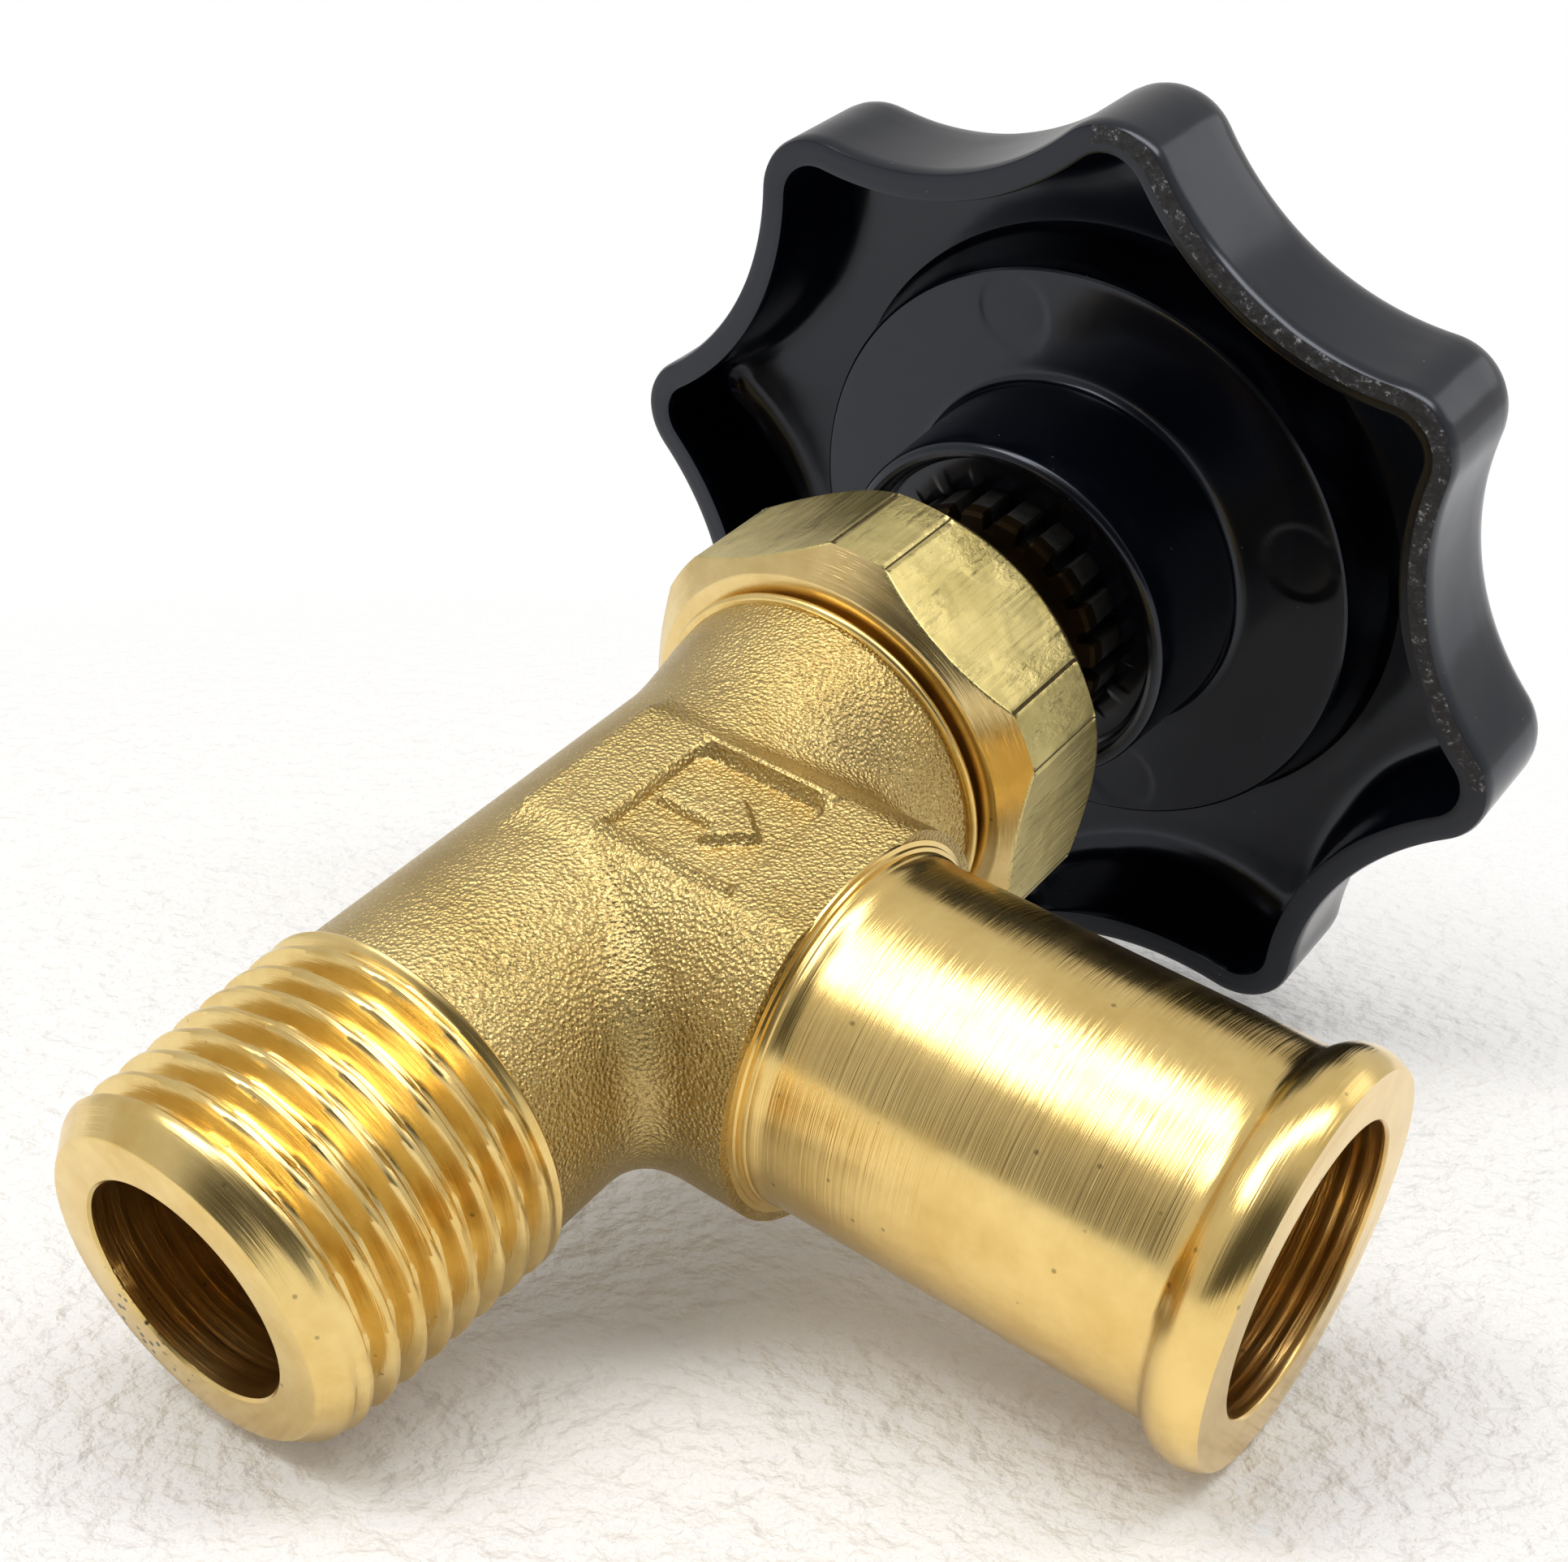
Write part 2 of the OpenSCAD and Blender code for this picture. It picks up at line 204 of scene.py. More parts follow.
def makeForgedBrass():
    # hot-forged brass, shot-blasted clean: khaki-gold skin of dents under 0.2 mm wide that glitter
    material, tree, coords = newMaterial("forgedBrass")
    place = inMillimetres(tree, coords)
    dents = addNode(tree, "ShaderNodeTexVoronoi", {"Vector": place, "Scale": 5.2, "Randomness": 1.0})
    grain = addNode(tree, "ShaderNodeTexNoise", {"Vector": place, "Scale": 8.0, "Detail": 2.0,
                                                 "Roughness": 0.6})
    stain = addNode(tree, "ShaderNodeTexNoise", {"Vector": place, "Scale": 0.16, "Detail": 3.0,
                                                 "Roughness": 0.6})
    pocked = addNode(tree, "ShaderNodeBump", {"Height": dents.outputs["Distance"], "Strength": 0.85,
                                              "Distance": 0.00008})
    dimpled = addNode(tree, "ShaderNodeBump", {"Height": grain.outputs["Fac"], "Strength": 0.75,
                                               "Distance": 0.00006, "Normal": pocked.outputs[0]})
    gold = addNode(tree, "ShaderNodeValToRGB", {"Fac": stain.outputs["Fac"]},
                   {"stops": [(0.28, "#B09A60"), (0.5, "#CCB67C"), (0.72, "#DAC68C")]})
    # one dull patch left by die lubricant on the upper barrel
    fromPatch = addNode(tree, "ShaderNodeVectorMath", {0: place, 1: forgingPatch["centre"]},
                        {"operation": "DISTANCE"})
    ragged = addNode(tree, "ShaderNodeMath", {0: stain.outputs["Fac"], 1: 3.0,
                                              2: fromPatch.outputs["Value"]},
                     {"operation": "MULTIPLY_ADD"})
    smudge = addNode(tree, "ShaderNodeMapRange", {"Value": ragged.outputs[0],
                                                  "From Min": forgingPatch["inner"],
                                                  "From Max": forgingPatch["outer"], "To Min": 0.5,
                                                  "To Max": 0.0})
    dulled = addNode(tree, "ShaderNodeMix", {"Factor": smudge.outputs["Result"], 6: gold.outputs[0],
                                             7: linear("#8E8468")}, {"data_type": "RGBA"})
    hollow = addNode(tree, "ShaderNodeMix", {"Factor": grain.outputs["Fac"], 6: linear("#AC9157"),
                                             7: dulled.outputs[2]}, {"data_type": "RGBA"})
    polish = addNode(tree, "ShaderNodeMapRange", {"Value": grain.outputs["Fac"], "From Min": 0.35,
                                                  "From Max": 0.65, "To Min": 0.42, "To Max": 0.24})
    finishMaterial(tree, {"Base Color": hollow.outputs[2], "Metallic": 1.0,
                          "Roughness": polish.outputs[0], "Normal": dimpled.outputs[0]})
    return material


def makeTurnedBrass(name, grooveScale, fine, coarse, bright, deep, rough, pits=None):
    # lathe-turned brass: bright, with fine rings across the axis that smear each highlight lengthwise
    material, tree, coords = newMaterial(name)
    along = inMillimetres(tree, coords, grooveScale)
    place = inMillimetres(tree, coords)
    rings = addNode(tree, "ShaderNodeTexNoise", {"Vector": along, "Scale": fine, "Detail": 3.0,
                                                 "Roughness": 0.7})
    bands = addNode(tree, "ShaderNodeTexNoise", {"Vector": along, "Scale": coarse, "Detail": 2.0})
    haze = addNode(tree, "ShaderNodeTexNoise", {"Vector": place, "Scale": 0.3, "Detail": 4.0,
                                                "Roughness": 0.65})
    cut = addNode(tree, "ShaderNodeBump", {"Height": rings.outputs["Fac"], "Strength": 0.7,
                                           "Distance": 0.00003})
    step = addNode(tree, "ShaderNodeBump", {"Height": bands.outputs["Fac"], "Strength": 0.2,
                                            "Distance": 0.00003, "Normal": cut.outputs[0]})
    tone = addNode(tree, "ShaderNodeValToRGB", {"Fac": haze.outputs["Fac"]},
                   {"stops": [(0.3, deep), (0.62, bright)]})
    specks = addNode(tree, "ShaderNodeTexVoronoi", {"Vector": place, "Scale": 0.55, "Randomness": 1.0})
    spot = addNode(tree, "ShaderNodeValToRGB", {"Fac": specks.outputs["Distance"]},
                   {"stops": [(0.0, 0.38), (0.045, 0.6), (0.075, 1.0)]})
    marked = addNode(tree, "ShaderNodeMix", {"Factor": 1.0, 6: tone.outputs[0], 7: spot.outputs[0]},
                     {"data_type": "RGBA", "blend_type": "MULTIPLY"})
    if pits:
        # casting pits gathered in one place: dark dots about 0.15 mm wide
        centre, reach = pits
        holes = addNode(tree, "ShaderNodeTexVoronoi", {"Vector": place, "Scale": 2.0, "Randomness": 1.0})
        fromPits = addNode(tree, "ShaderNodeVectorMath", {0: place, 1: centre}, {"operation": "DISTANCE"})
        edge = addNode(tree, "ShaderNodeMapRange", {"Value": fromPits.outputs["Value"],
                                                    "From Min": reach * 0.4, "From Max": reach,
                                                    "To Min": 0.0, "To Max": 0.3})
        depth = addNode(tree, "ShaderNodeMath", {0: holes.outputs["Distance"], 1: edge.outputs["Result"]},
                        {"operation": "ADD"})
        dot = addNode(tree, "ShaderNodeValToRGB", {"Fac": depth.outputs[0]},
                      {"stops": [(0.22, 0.1), (0.34, 1.0)]})
        marked = addNode(tree, "ShaderNodeMix", {"Factor": 1.0, 6: marked.outputs[2], 7: dot.outputs[0]},
                         {"data_type": "RGBA", "blend_type": "MULTIPLY"})
    polish = addNode(tree, "ShaderNodeMapRange", {"Value": bands.outputs["Fac"], "From Min": 0.3,
                                                  "From Max": 0.7, "To Min": rough[0], "To Max": rough[1]})
    finishMaterial(tree, {"Base Color": marked.outputs[2], "Metallic": 1.0,
                          "Roughness": polish.outputs[0], "Normal": step.outputs[0]})
    return material


def makeDrawnBrass():
    # bright-drawn hexagon bar: pale greenish flats with straight die lines, dark scores and rubbed patches
    material, tree, coords = newMaterial("drawnBrass")
    place = inMillimetres(tree, coords)
    lines = addNode(tree, "ShaderNodeTexNoise", {"Vector": inMillimetres(tree, coords, (1, 1, 0.03)),
                                                 "Scale": 5.5, "Detail": 3.0, "Roughness": 0.65})
    scores = addNode(tree, "ShaderNodeTexNoise", {"Vector": inMillimetres(tree, coords, (1, 1, 0.16)),
                                                  "Scale": 2.9, "Detail": 4.0, "Roughness": 0.7})
    patch = addNode(tree, "ShaderNodeTexNoise", {"Vector": place, "Scale": 0.2, "Detail": 2.0})
    worn = addNode(tree, "ShaderNodeValToRGB", {"Fac": patch.outputs["Fac"]},
                   {"stops": [(0.47, 0.12), (0.6, 1.0)]})
    rub = addNode(tree, "ShaderNodeTexNoise", {"Vector": inMillimetres(tree, coords, (1, 1, 0.6)),
                                               "Scale": 2.2, "Detail": 5.0, "Roughness": 0.7})
    rubbed = addNode(tree, "ShaderNodeMath", {0: rub.outputs["Fac"], 1: worn.outputs[0]},
                     {"operation": "MULTIPLY"})
    drag = addNode(tree, "ShaderNodeBump", {"Height": lines.outputs["Fac"], "Strength": 0.5,
                                            "Distance": 0.00003})
    torn = addNode(tree, "ShaderNodeBump", {"Height": rubbed.outputs[0], "Strength": 0.7,
                                            "Distance": 0.00007, "Normal": drag.outputs[0]})
    cloud = addNode(tree, "ShaderNodeTexNoise", {"Vector": place, "Scale": 0.3, "Detail": 4.0,
                                                 "Roughness": 0.6})
    pale = addNode(tree, "ShaderNodeValToRGB", {"Fac": cloud.outputs["Fac"]},
                   {"stops": [(0.3, "#BFAE6E"), (0.62, "#DBCA88")]})
    mark = addNode(tree, "ShaderNodeValToRGB", {"Fac": scores.outputs["Fac"]},
                   {"stops": [(0.33, 0.34), (0.42, 1.0)]})
    scored = addNode(tree, "ShaderNodeMix", {"Factor": worn.outputs[0], 6: pale.outputs[0],
                                             7: mark.outputs[0]},
                     {"data_type": "RGBA", "blend_type": "MULTIPLY"})
    polish = addNode(tree, "ShaderNodeMapRange", {"Value": lines.outputs["Fac"], "From Min": 0.3,
                                                  "From Max": 0.7, "To Min": 0.24, "To Max": 0.4})
    finishMaterial(tree, {"Base Color": scored.outputs[2], "Metallic": 1.0,
                          "Roughness": polish.outputs[0], "Normal": torn.outputs[0]})
    return material


def makeGlossyMoulding():
    # black phenolic from a polished mould: deep gloss, a faint ripple, light handling scratches and dust
    material, tree, coords = newMaterial("glossyMoulding")
    place = inMillimetres(tree, coords)
    ripple = addNode(tree, "ShaderNodeTexNoise", {"Vector": place, "Scale": 0.22, "Detail": 1.5})
    rub = addNode(tree, "ShaderNodeTexNoise", {"Vector": inMillimetres(tree, coords, (1, 0.12, 0.5),
                                                                        (0.3, 0.2, 0.9)),
                                               "Scale": 3.0, "Detail": 3.0, "Roughness": 0.7})
    cloud = addNode(tree, "ShaderNodeTexNoise", {"Vector": place, "Scale": 0.09, "Detail": 3.0})
    dust = addNode(tree, "ShaderNodeTexVoronoi", {"Vector": place, "Scale": 0.55, "Randomness": 1.0})
    speck = addNode(tree, "ShaderNodeValToRGB", {"Fac": dust.outputs["Distance"]},
                    {"stops": [(0.0, "#75767C"), (0.025, "#22242B"), (0.04, "#05070E")]})
    wave = addNode(tree, "ShaderNodeBump", {"Height": ripple.outputs["Fac"], "Strength": 0.25,
                                            "Distance": 0.0003})
    fineWave = addNode(tree, "ShaderNodeBump", {"Height": rub.outputs["Fac"], "Strength": 0.06,
                                                "Distance": 0.00002, "Normal": wave.outputs[0]})
    polish = addNode(tree, "ShaderNodeMapRange", {"Value": cloud.outputs["Fac"], "From Min": 0.3,
                                                  "From Max": 0.7, "To Min": 0.13, "To Max": 0.24})
    finishMaterial(tree, {"Base Color": speck.outputs[0], "Roughness": polish.outputs[0], "IOR": 1.5,
                          "Specular Tint": linear("#E9F0FF"),
                          "Normal": fineWave.outputs[0]})
    return material


def makeTrimmedMoulding():
    # where the flash was filed off the rim: the skin is gone, so matt, ragged and full of pale chips
    material, tree, coords = newMaterial("trimmedMoulding")
    place = inMillimetres(tree, coords)
    chips = addNode(tree, "ShaderNodeTexNoise", {"Vector": place, "Scale": 2.2, "Detail": 6.0,
                                                 "Roughness": 0.75})
    tear = addNode(tree, "ShaderNodeTexVoronoi", {"Vector": place, "Scale": 1.9, "Randomness": 1.0})
    grey = addNode(tree, "ShaderNodeValToRGB", {"Fac": chips.outputs["Fac"]},
                   {"stops": [(0.48, "#0B0C11"), (0.57, "#26272D"), (0.65, "#9A9AA0")]})
    relief = addNode(tree, "ShaderNodeMath", {0: chips.outputs["Fac"], 1: tear.outputs["Distance"]},
                     {"operation": "ADD"})
    torn = addNode(tree, "ShaderNodeBump", {"Height": relief.outputs[0], "Strength": 0.8,
                                            "Distance": 0.0002})
    finishMaterial(tree, {"Base Color": grey.outputs[0], "Roughness": 0.5, "Normal": torn.outputs[0]})
    return material


def makePlainPart(name, dark, light, grain, roughness, metallic=0.0, relief=0.00003, stretch=(1, 1, 1)):
    # small inner parts: one grain drives colour, polish and relief at that material's own size
    material, tree, coords = newMaterial(name)
    place = inMillimetres(tree, coords, stretch)
    speckle = addNode(tree, "ShaderNodeTexNoise", {"Vector": place, "Scale": grain, "Detail": 5.0,
                                                   "Roughness": 0.65})
    shade = addNode(tree, "ShaderNodeValToRGB", {"Fac": speckle.outputs["Fac"]},
                    {"stops": [(0.35, dark), (0.65, light)]})
    polish = addNode(tree, "ShaderNodeMapRange", {"Value": speckle.outputs["Fac"], "From Min": 0.3,
                                                  "From Max": 0.7, "To Min": roughness[0],
                                                  "To Max": roughness[1]})
    bump = addNode(tree, "ShaderNodeBump", {"Height": speckle.outputs["Fac"], "Strength": 0.5,
                                            "Distance": relief})
    finishMaterial(tree, {"Base Color": shade.outputs[0], "Roughness": polish.outputs[0],
                          "Metallic": metallic, "Normal": bump.outputs[0]})
    return material


forgedBrass = makeForgedBrass()
ringsAlongZ = (0.02, 0.02, 1)  # patterns are stretched round the axis that the tool turned about
turnedAlongX = makeTurnedBrass("turnedBrassSpigot", (1, 0.01, 0.01), 7.0, 0.9, "#EFD189", "#E0BF75",
                               (0.16, 0.23))
turnedAlongZ = makeTurnedBrass("turnedBrassThread", ringsAlongZ, 7.0, 2.2, "#EBD08C", "#DAB96F",
                               (0.2, 0.3))
pittedBrass = makeTurnedBrass("turnedBrassInlet", ringsAlongZ, 7.0, 2.2, "#EBD08C", "#DAB96F",
                              (0.2, 0.3), ((-3.4, 5.0, 0.0), 4.0))
chamferBrass = makeTurnedBrass("turnedBrassChamfer", ringsAlongZ, 9.0, 4.0, "#E9CF92", "#D6B976",
                               (0.19, 0.28))
boredBrass = makeTurnedBrass("boredBrass", (0.04, 0.04, 1), 5.0, 1.6, "#F0D08C", "#DDB670", (0.2, 0.3))
boredAlongX = makeTurnedBrass("boredBrassOutlet", (1, 0.04, 0.04), 4.5, 1.6, "#F0D08C", "#DDB670",
                              (0.18, 0.28))
# the stem's head is coloured near-black brown brass: painted shade between the nut and the wheel
paintedShadeBrass = makeTurnedBrass("paintedShadeBrass", ringsAlongZ, 5.0, 1.5, "#2A2012", "#16110A", (0.5, 0.65))
# inside the wheel the head is near-black: painted shade in the hub's recess, with grease
greaseAndPaintedShade = makePlainPart("greaseAndPaintedShade", "#08080A", "#15130F", 2.0, (0.5, 0.7))
# the scored lines where each land meets a flat are coloured near-black brown
darkScoreLine = makePlainPart("darkScoreLine", "#2E2614", "#5C4C2A", 3.0, (0.5, 0.7), 0.6)
drawnBrass = makeDrawnBrass()
glossyMoulding = makeGlossyMoulding()
trimmedMoulding = makeTrimmedMoulding()
# nitrile rubber pressed in a steel mould: soft black, faint bloom
nitrileRubber = makePlainPart("nitrileRubber", "#141414", "#242322", 3.0, (0.55, 0.75))
# vulcanised fibre punched from sheet: dull red-brown with pressed fibres
pressedFibre = makePlainPart("pressedFibre", "#5B3323", "#7A4A33", 5.0, (0.7, 0.85), stretch=(1, 0.3, 1))
# skived PTFE: milky white with faint turning lines
turnedFluoropolymer = makePlainPart("turnedFluoropolymer", "#D9DAD6", "#ECECE8", 2.0, (0.35, 0.5),
                                    stretch=(0.1, 0.1, 3))
# spring wire, coiled and left dark: grey with drawn lines
springSteel = makePlainPart("springSteel", "#77777A", "#99999B", 4.0, (0.3, 0.45), 1.0)
# bright zinc plate over steel: pale, slightly bluish, with a fine crystalline grain
zincPlate = makePlainPart("zincPlate", "#B3B8BE", "#D2D5DA", 3.0, (0.25, 0.4), 1.0)
print("materials made")


# shaping
outletHeight = 27.45  # height of the hose outlet's axis above the inlet face, mm


def activate(piece):
    deselectAll()
    piece.select_set(True)
    bpy.context.view_layer.objects.active = piece


def inEditMode(piece, *steps):
    activate(piece)
    bpy.ops.object.mode_set(mode="EDIT")
    bpy.ops.mesh.select_all(action="SELECT")
    for step in steps:
        step()
    bpy.ops.object.mode_set(mode="OBJECT")


def tidyMesh(piece):
    inEditMode(piece,
               lambda: bpy.ops.mesh.remove_doubles(threshold=0.0004),
               lambda: bpy.ops.mesh.delete_loose(),
               lambda: bpy.ops.mesh.select_all(action="SELECT"),
               lambda: bpy.ops.mesh.normals_make_consistent(inside=False))


def applyModifier(piece, kind, **settings):
    activate(piece)
    modifier = piece.modifiers.new(kind.title(), kind)
    for key, value in settings.items():
        setattr(modifier, key, value)
    bpy.ops.object.modifier_apply(modifier=modifier.name)


def verticesOf(piece):
    flat = np.zeros(len(piece.data.vertices) * 3)
    piece.data.vertices.foreach_get("co", flat)
    return flat.reshape(-1, 3)


def placeVertices(piece, places):
    piece.data.vertices.foreach_set("co", places.ravel())
    piece.data.update()


def faceCentres(piece):
    flat = np.zeros(len(piece.data.polygons) * 3)
    piece.data.polygons.foreach_get("center", flat)
    return flat.reshape(-1, 3)


def spinRings(name, count, segments, closed=True):
    # a ring blank: the outline of a circle is laid out as a row of points, then spun about the axis
    deselectAll()
    bpy.ops.mesh.primitive_circle_add(vertices=count, radius=1)
    piece = bpy.context.object
    piece.name = piece.data.name = name
    number = piece.data.attributes.new("ring", "FLOAT", "POINT")
    for i, vertex in enumerate(piece.data.vertices):
        vertex.co = (i + 1, 0, 0)
        number.data[i].value = i
    activate(piece)
    bpy.ops.object.mode_set(mode="EDIT")
    if not closed:
        bpy.ops.mesh.select_mode(type="EDGE")
        bpy.ops.mesh.select_all(action="DESELECT")
        bpy.ops.object.mode_set(mode="OBJECT")
        for edge in piece.data.edges:
            edge.select = set(edge.vertices) == {0, count - 1}
        bpy.ops.object.mode_set(mode="EDIT")
        bpy.ops.mesh.delete(type="EDGE")
        bpy.ops.mesh.select_mode(type="VERT")
    bpy.ops.mesh.select_all(action="SELECT")
    bpy.ops.mesh.spin(steps=segments, angle=2 * math.pi, center=(0, 0, 0), axis=(0, 0, 1))
    bpy.ops.mesh.select_all(action="SELECT")
    bpy.ops.mesh.remove_doubles(threshold=0.001)
    bpy.ops.object.mode_set(mode="OBJECT")
    return piece


def ringsAndAngles(piece):
    rings = np.zeros(len(piece.data.vertices))
    piece.data.attributes["ring"].data.foreach_get("value", rings)
    places = verticesOf(piece)
    piece.data.attributes.remove(piece.data.attributes["ring"])
    return np.rint(rings).astype(int), np.arctan2(places[:, 1], places[:, 0])


def turn(name, profile, segments=192, reshape=None, alongX=False, closed=True):
    # profile is a row of (radius, height) points in mm, reshape may change both by angle
    profile = np.array(profile, float)
    piece = spinRings(name, len(profile), segments, closed)
    ring, angle = ringsAndAngles(piece)
    radius, height = profile[ring, 0], profile[ring, 1]
    if reshape:
        radius, height = reshape(radius, height, angle)
    across = [radius * np.cos(angle), radius * np.sin(angle)]
    if alongX:
        places = np.stack([height, across[0], across[1] + outletHeight], axis=1)
    else:
        places = np.stack([across[0], across[1], height], axis=1)
    placeVertices(piece, places)
    tidyMesh(piece)
    return piece


def divide(points, step):
    # adds points to a row so that no two are further apart than step
    out = []
    for here, after in zip(points[:-1], points[1:]):
        here, after = np.array(here[:2], float), np.array(after[:2], float)
        parts = max(1, math.ceil(np.linalg.norm(after - here) / step))
        out += [here + (after - here) * k / parts for k in range(parts)]
    return out + [np.array(points[-1][:2], float)]


def arc(centre, radius, start, end, steps):
    angles = [math.radians(start + (end - start) * i / steps) for i in range(steps + 1)]
    return [(centre[0] + radius * math.cos(a), centre[1] + radius * math.sin(a), 0) for a in angles]


def smoothMin(a, b, blend):
    mix = np.clip(0.5 + 0.5 * (b - a) / blend, 0, 1)
    return b * (1 - mix) + a * mix - blend * mix * (1 - mix)


def smoothMax(a, b, blend):
    return -smoothMin(-a, -b, blend)


def smoothStep(value, low, high):
    t = np.clip((value - low) / (high - low), 0, 1)
    return t * t * (3 - 2 * t)


def finishPiece(piece, body, materials, replaced=(), smoothAngle=32):
    painted = np.zeros(len(piece.data.polygons), np.int32)
    piece.data.polygons.foreach_get("material_index", painted)
    piece.data.materials.clear()  # a boolean leaves an empty slot, and clearing resets the painted faces
    for material in materials:
        piece.data.materials.append(material)
    piece.data.polygons.foreach_set("material_index", painted)
    activate(piece)
    piece.scale = (mm, mm, mm)
    bpy.ops.object.transform_apply(location=True, rotation=True, scale=True)
    bpy.ops.object.shade_smooth_by_angle(angle=math.radians(smoothAngle))
    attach(piece, body)
    for node in replaced:
        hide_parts(node)
    print(piece.name, "done,", len(piece.data.polygons), "faces")


def paintFaces(piece, slotNumbers):
    piece.data.polygons.foreach_set("material_index", np.asarray(slotNumbers, np.int32))


# forged body
forging = {
    "barrelRadius": 8.12,
    "flareStart": 34.5,
    "flareRadius": 9.2,
    "bottom": 12.55,
    "top": 40.95,
    "bossRadius": 9.35,
    "bossEnd": 12.1,
    "padDistance": 8.35,
    "padStart": -2.8,
    "fillet": (0.45, 2.1),  # where the pads meet the barrel, and round the rest of the boss
    "flatEdge": 0.22,
    "pocket": (4.65, 7.0, 6.9, 0.5),  # centre along x, length, height and depth
    "voxel": 0.17,
    "ridge": (0.36, 0.26),  # height and half width of the ridges along the pocket
    "arrow": 0.46,  # height of the flow arrow
}

# the ways through the body
bores = {"chamber": 6.6, "packing": 7.4, "packingFloor": 36.0, "port": 6.0}


def barrelField(p):
    flare = smoothStep(p[:, 2], forging["flareStart"], forging["top"] + 1.2)
    radius = forging["barrelRadius"] + (forging["flareRadius"] - forging["barrelRadius"]) * flare
    return np.hypot(p[:, 0], p[:, 1]) - radius


def bossField(p):
    cylinder = np.hypot(p[:, 1], p[:, 2] - outletHeight) - forging["bossRadius"]
    flats = np.abs(p[:, 1]) - forging["padDistance"]
    start = forging["padStart"] - p[:, 0]
    return smoothMax(smoothMax(cylinder, flats, forging["flatEdge"]), start, 0.5)


def forgingField(p):
    tight, wide = forging["fillet"]
    fillet = wide + (tight - wide) * smoothStep(np.abs(p[:, 1]), 5.2, 7.4)
    return smoothMin(barrelField(p), bossField(p), fillet)


def settleOnField(places, field, steps=6):
    # walks every point along the slope of the field until it lies on the smooth surface
    nudge = 0.01
    for _ in range(steps):
        value = field(places)
        slope = np.stack([(field(places + nudge * axis) - field(places - nudge * axis)) / (2 * nudge)
                          for axis in np.eye(3)], axis=1)
        length = np.maximum((slope ** 2).sum(1), 0.05)
        places = places - slope * (value / length)[:, None]
    return places


def sliceOff(piece, place, normal):
    inEditMode(piece, lambda: bpy.ops.mesh.bisect(plane_co=place, plane_no=normal, use_fill=True,
                                                  clear_outer=True))


def makeForging():
    # barrel and boss start as rough cylinders, and their joined skin then settles on the true shape
    deselectAll()
    bpy.ops.mesh.primitive_cylinder_add(vertices=96, radius=8.1, depth=32, location=(0, 0, 27))
    piece = bpy.context.object
    deselectAll()
    bpy.ops.mesh.primitive_cylinder_add(vertices=96, radius=9.3, depth=16, location=(6, 0, outletHeight),
                                        rotation=(0, math.pi / 2, 0))
    boss = bpy.context.object
    for side in (1, -1):
        sliceOff(boss, (0, side * forging["padDistance"], 0), (0, side, 0))
    activate(piece)
    boss.select_set(True)
    bpy.ops.object.join()
    piece.name = piece.data.name = "bodyForging"
    bpy.ops.object.transform_apply(location=True, rotation=True, scale=True)
    applyModifier(piece, "REMESH", mode="VOXEL", voxel_size=forging["voxel"])
    places = verticesOf(piece)
    inner = (places[:, 2] > 11.5) & (places[:, 2] < 42.5) & (places[:, 0] < 13.5)
    places[inner] = settleOnField(places[inner], forgingField)
    placeVertices(piece, places)
    return piece


def emboss(piece):
    # sunk pocket with a raised flow arrow on the front pad, and the slim ridges along the pocket
    rounding = 0.9
    places = verticesOf(piece)
    centre, length, height, depth = forging["pocket"]
    x = places[:, 0] - centre
    z = places[:, 2] - outletHeight
    onPad = places[:, 1] < -forging["padDistance"] + 1.1
    box = np.maximum(np.abs(x) - length / 2, np.abs(z) - height / 2)
    corner = np.hypot(np.maximum(np.abs(x) - length / 2 + rounding, 0),
                      np.maximum(np.abs(z) - height / 2 + rounding, 0))
    box = np.where(corner > 0, corner - rounding, box)
    sunk = depth * (1 - smoothStep(box, -0.14, 0.14))
    tall, thin = forging["ridge"]
    ridge = tall * np.exp(-((np.abs(z) - height / 2 - thin) / thin) ** 2) * (np.abs(x) < length / 2 + 0.2)
    shaft = np.maximum(np.abs(x + 1.0) - 1.75, np.abs(z) - 0.5)
    head = np.maximum(-x + 0.3, np.abs(z) * 0.77 + (x - 0.3) * 0.64 - 1.25)
    arrow = np.minimum(shaft, head)
    raised = forging["arrow"] * (1 - smoothStep(arrow, -0.08, 0.16))
    places[:, 1] += np.where(onPad, sunk - ridge - raised, 0)
    placeVertices(piece, places)


def cutEnds(piece):
    for place, normal in (((0, 0, forging["bottom"]), (0, 0, -1)), ((0, 0, forging["top"]), (0, 0, 1)),
                          ((forging["bossEnd"], 0, 0), (1, 0, 0))):
        sliceOff(piece, place, normal)


# the inlet bore, the seat's lip, the chamber and the counterbore that holds the packing
chamberProfile = [(0, 2), (5.2, 2), (5.2, 20.9), (5.75, 20.9), (6.0, 20.2), (bores["chamber"], 20.2),
                  (bores["chamber"], bores["packingFloor"]), (bores["packing"], bores["packingFloor"]),
                  (bores["packing"], 45), (0, 45)]


def makeCutter(name, profile, alongX=False):
    return turn(name, profile, 128, alongX=alongX, closed=False)


def subtract(piece, cutter):
    applyModifier(piece, "BOOLEAN", operation="DIFFERENCE", object=cutter, solver="MANIFOLD")
    bpy.data.objects.remove(cutter)


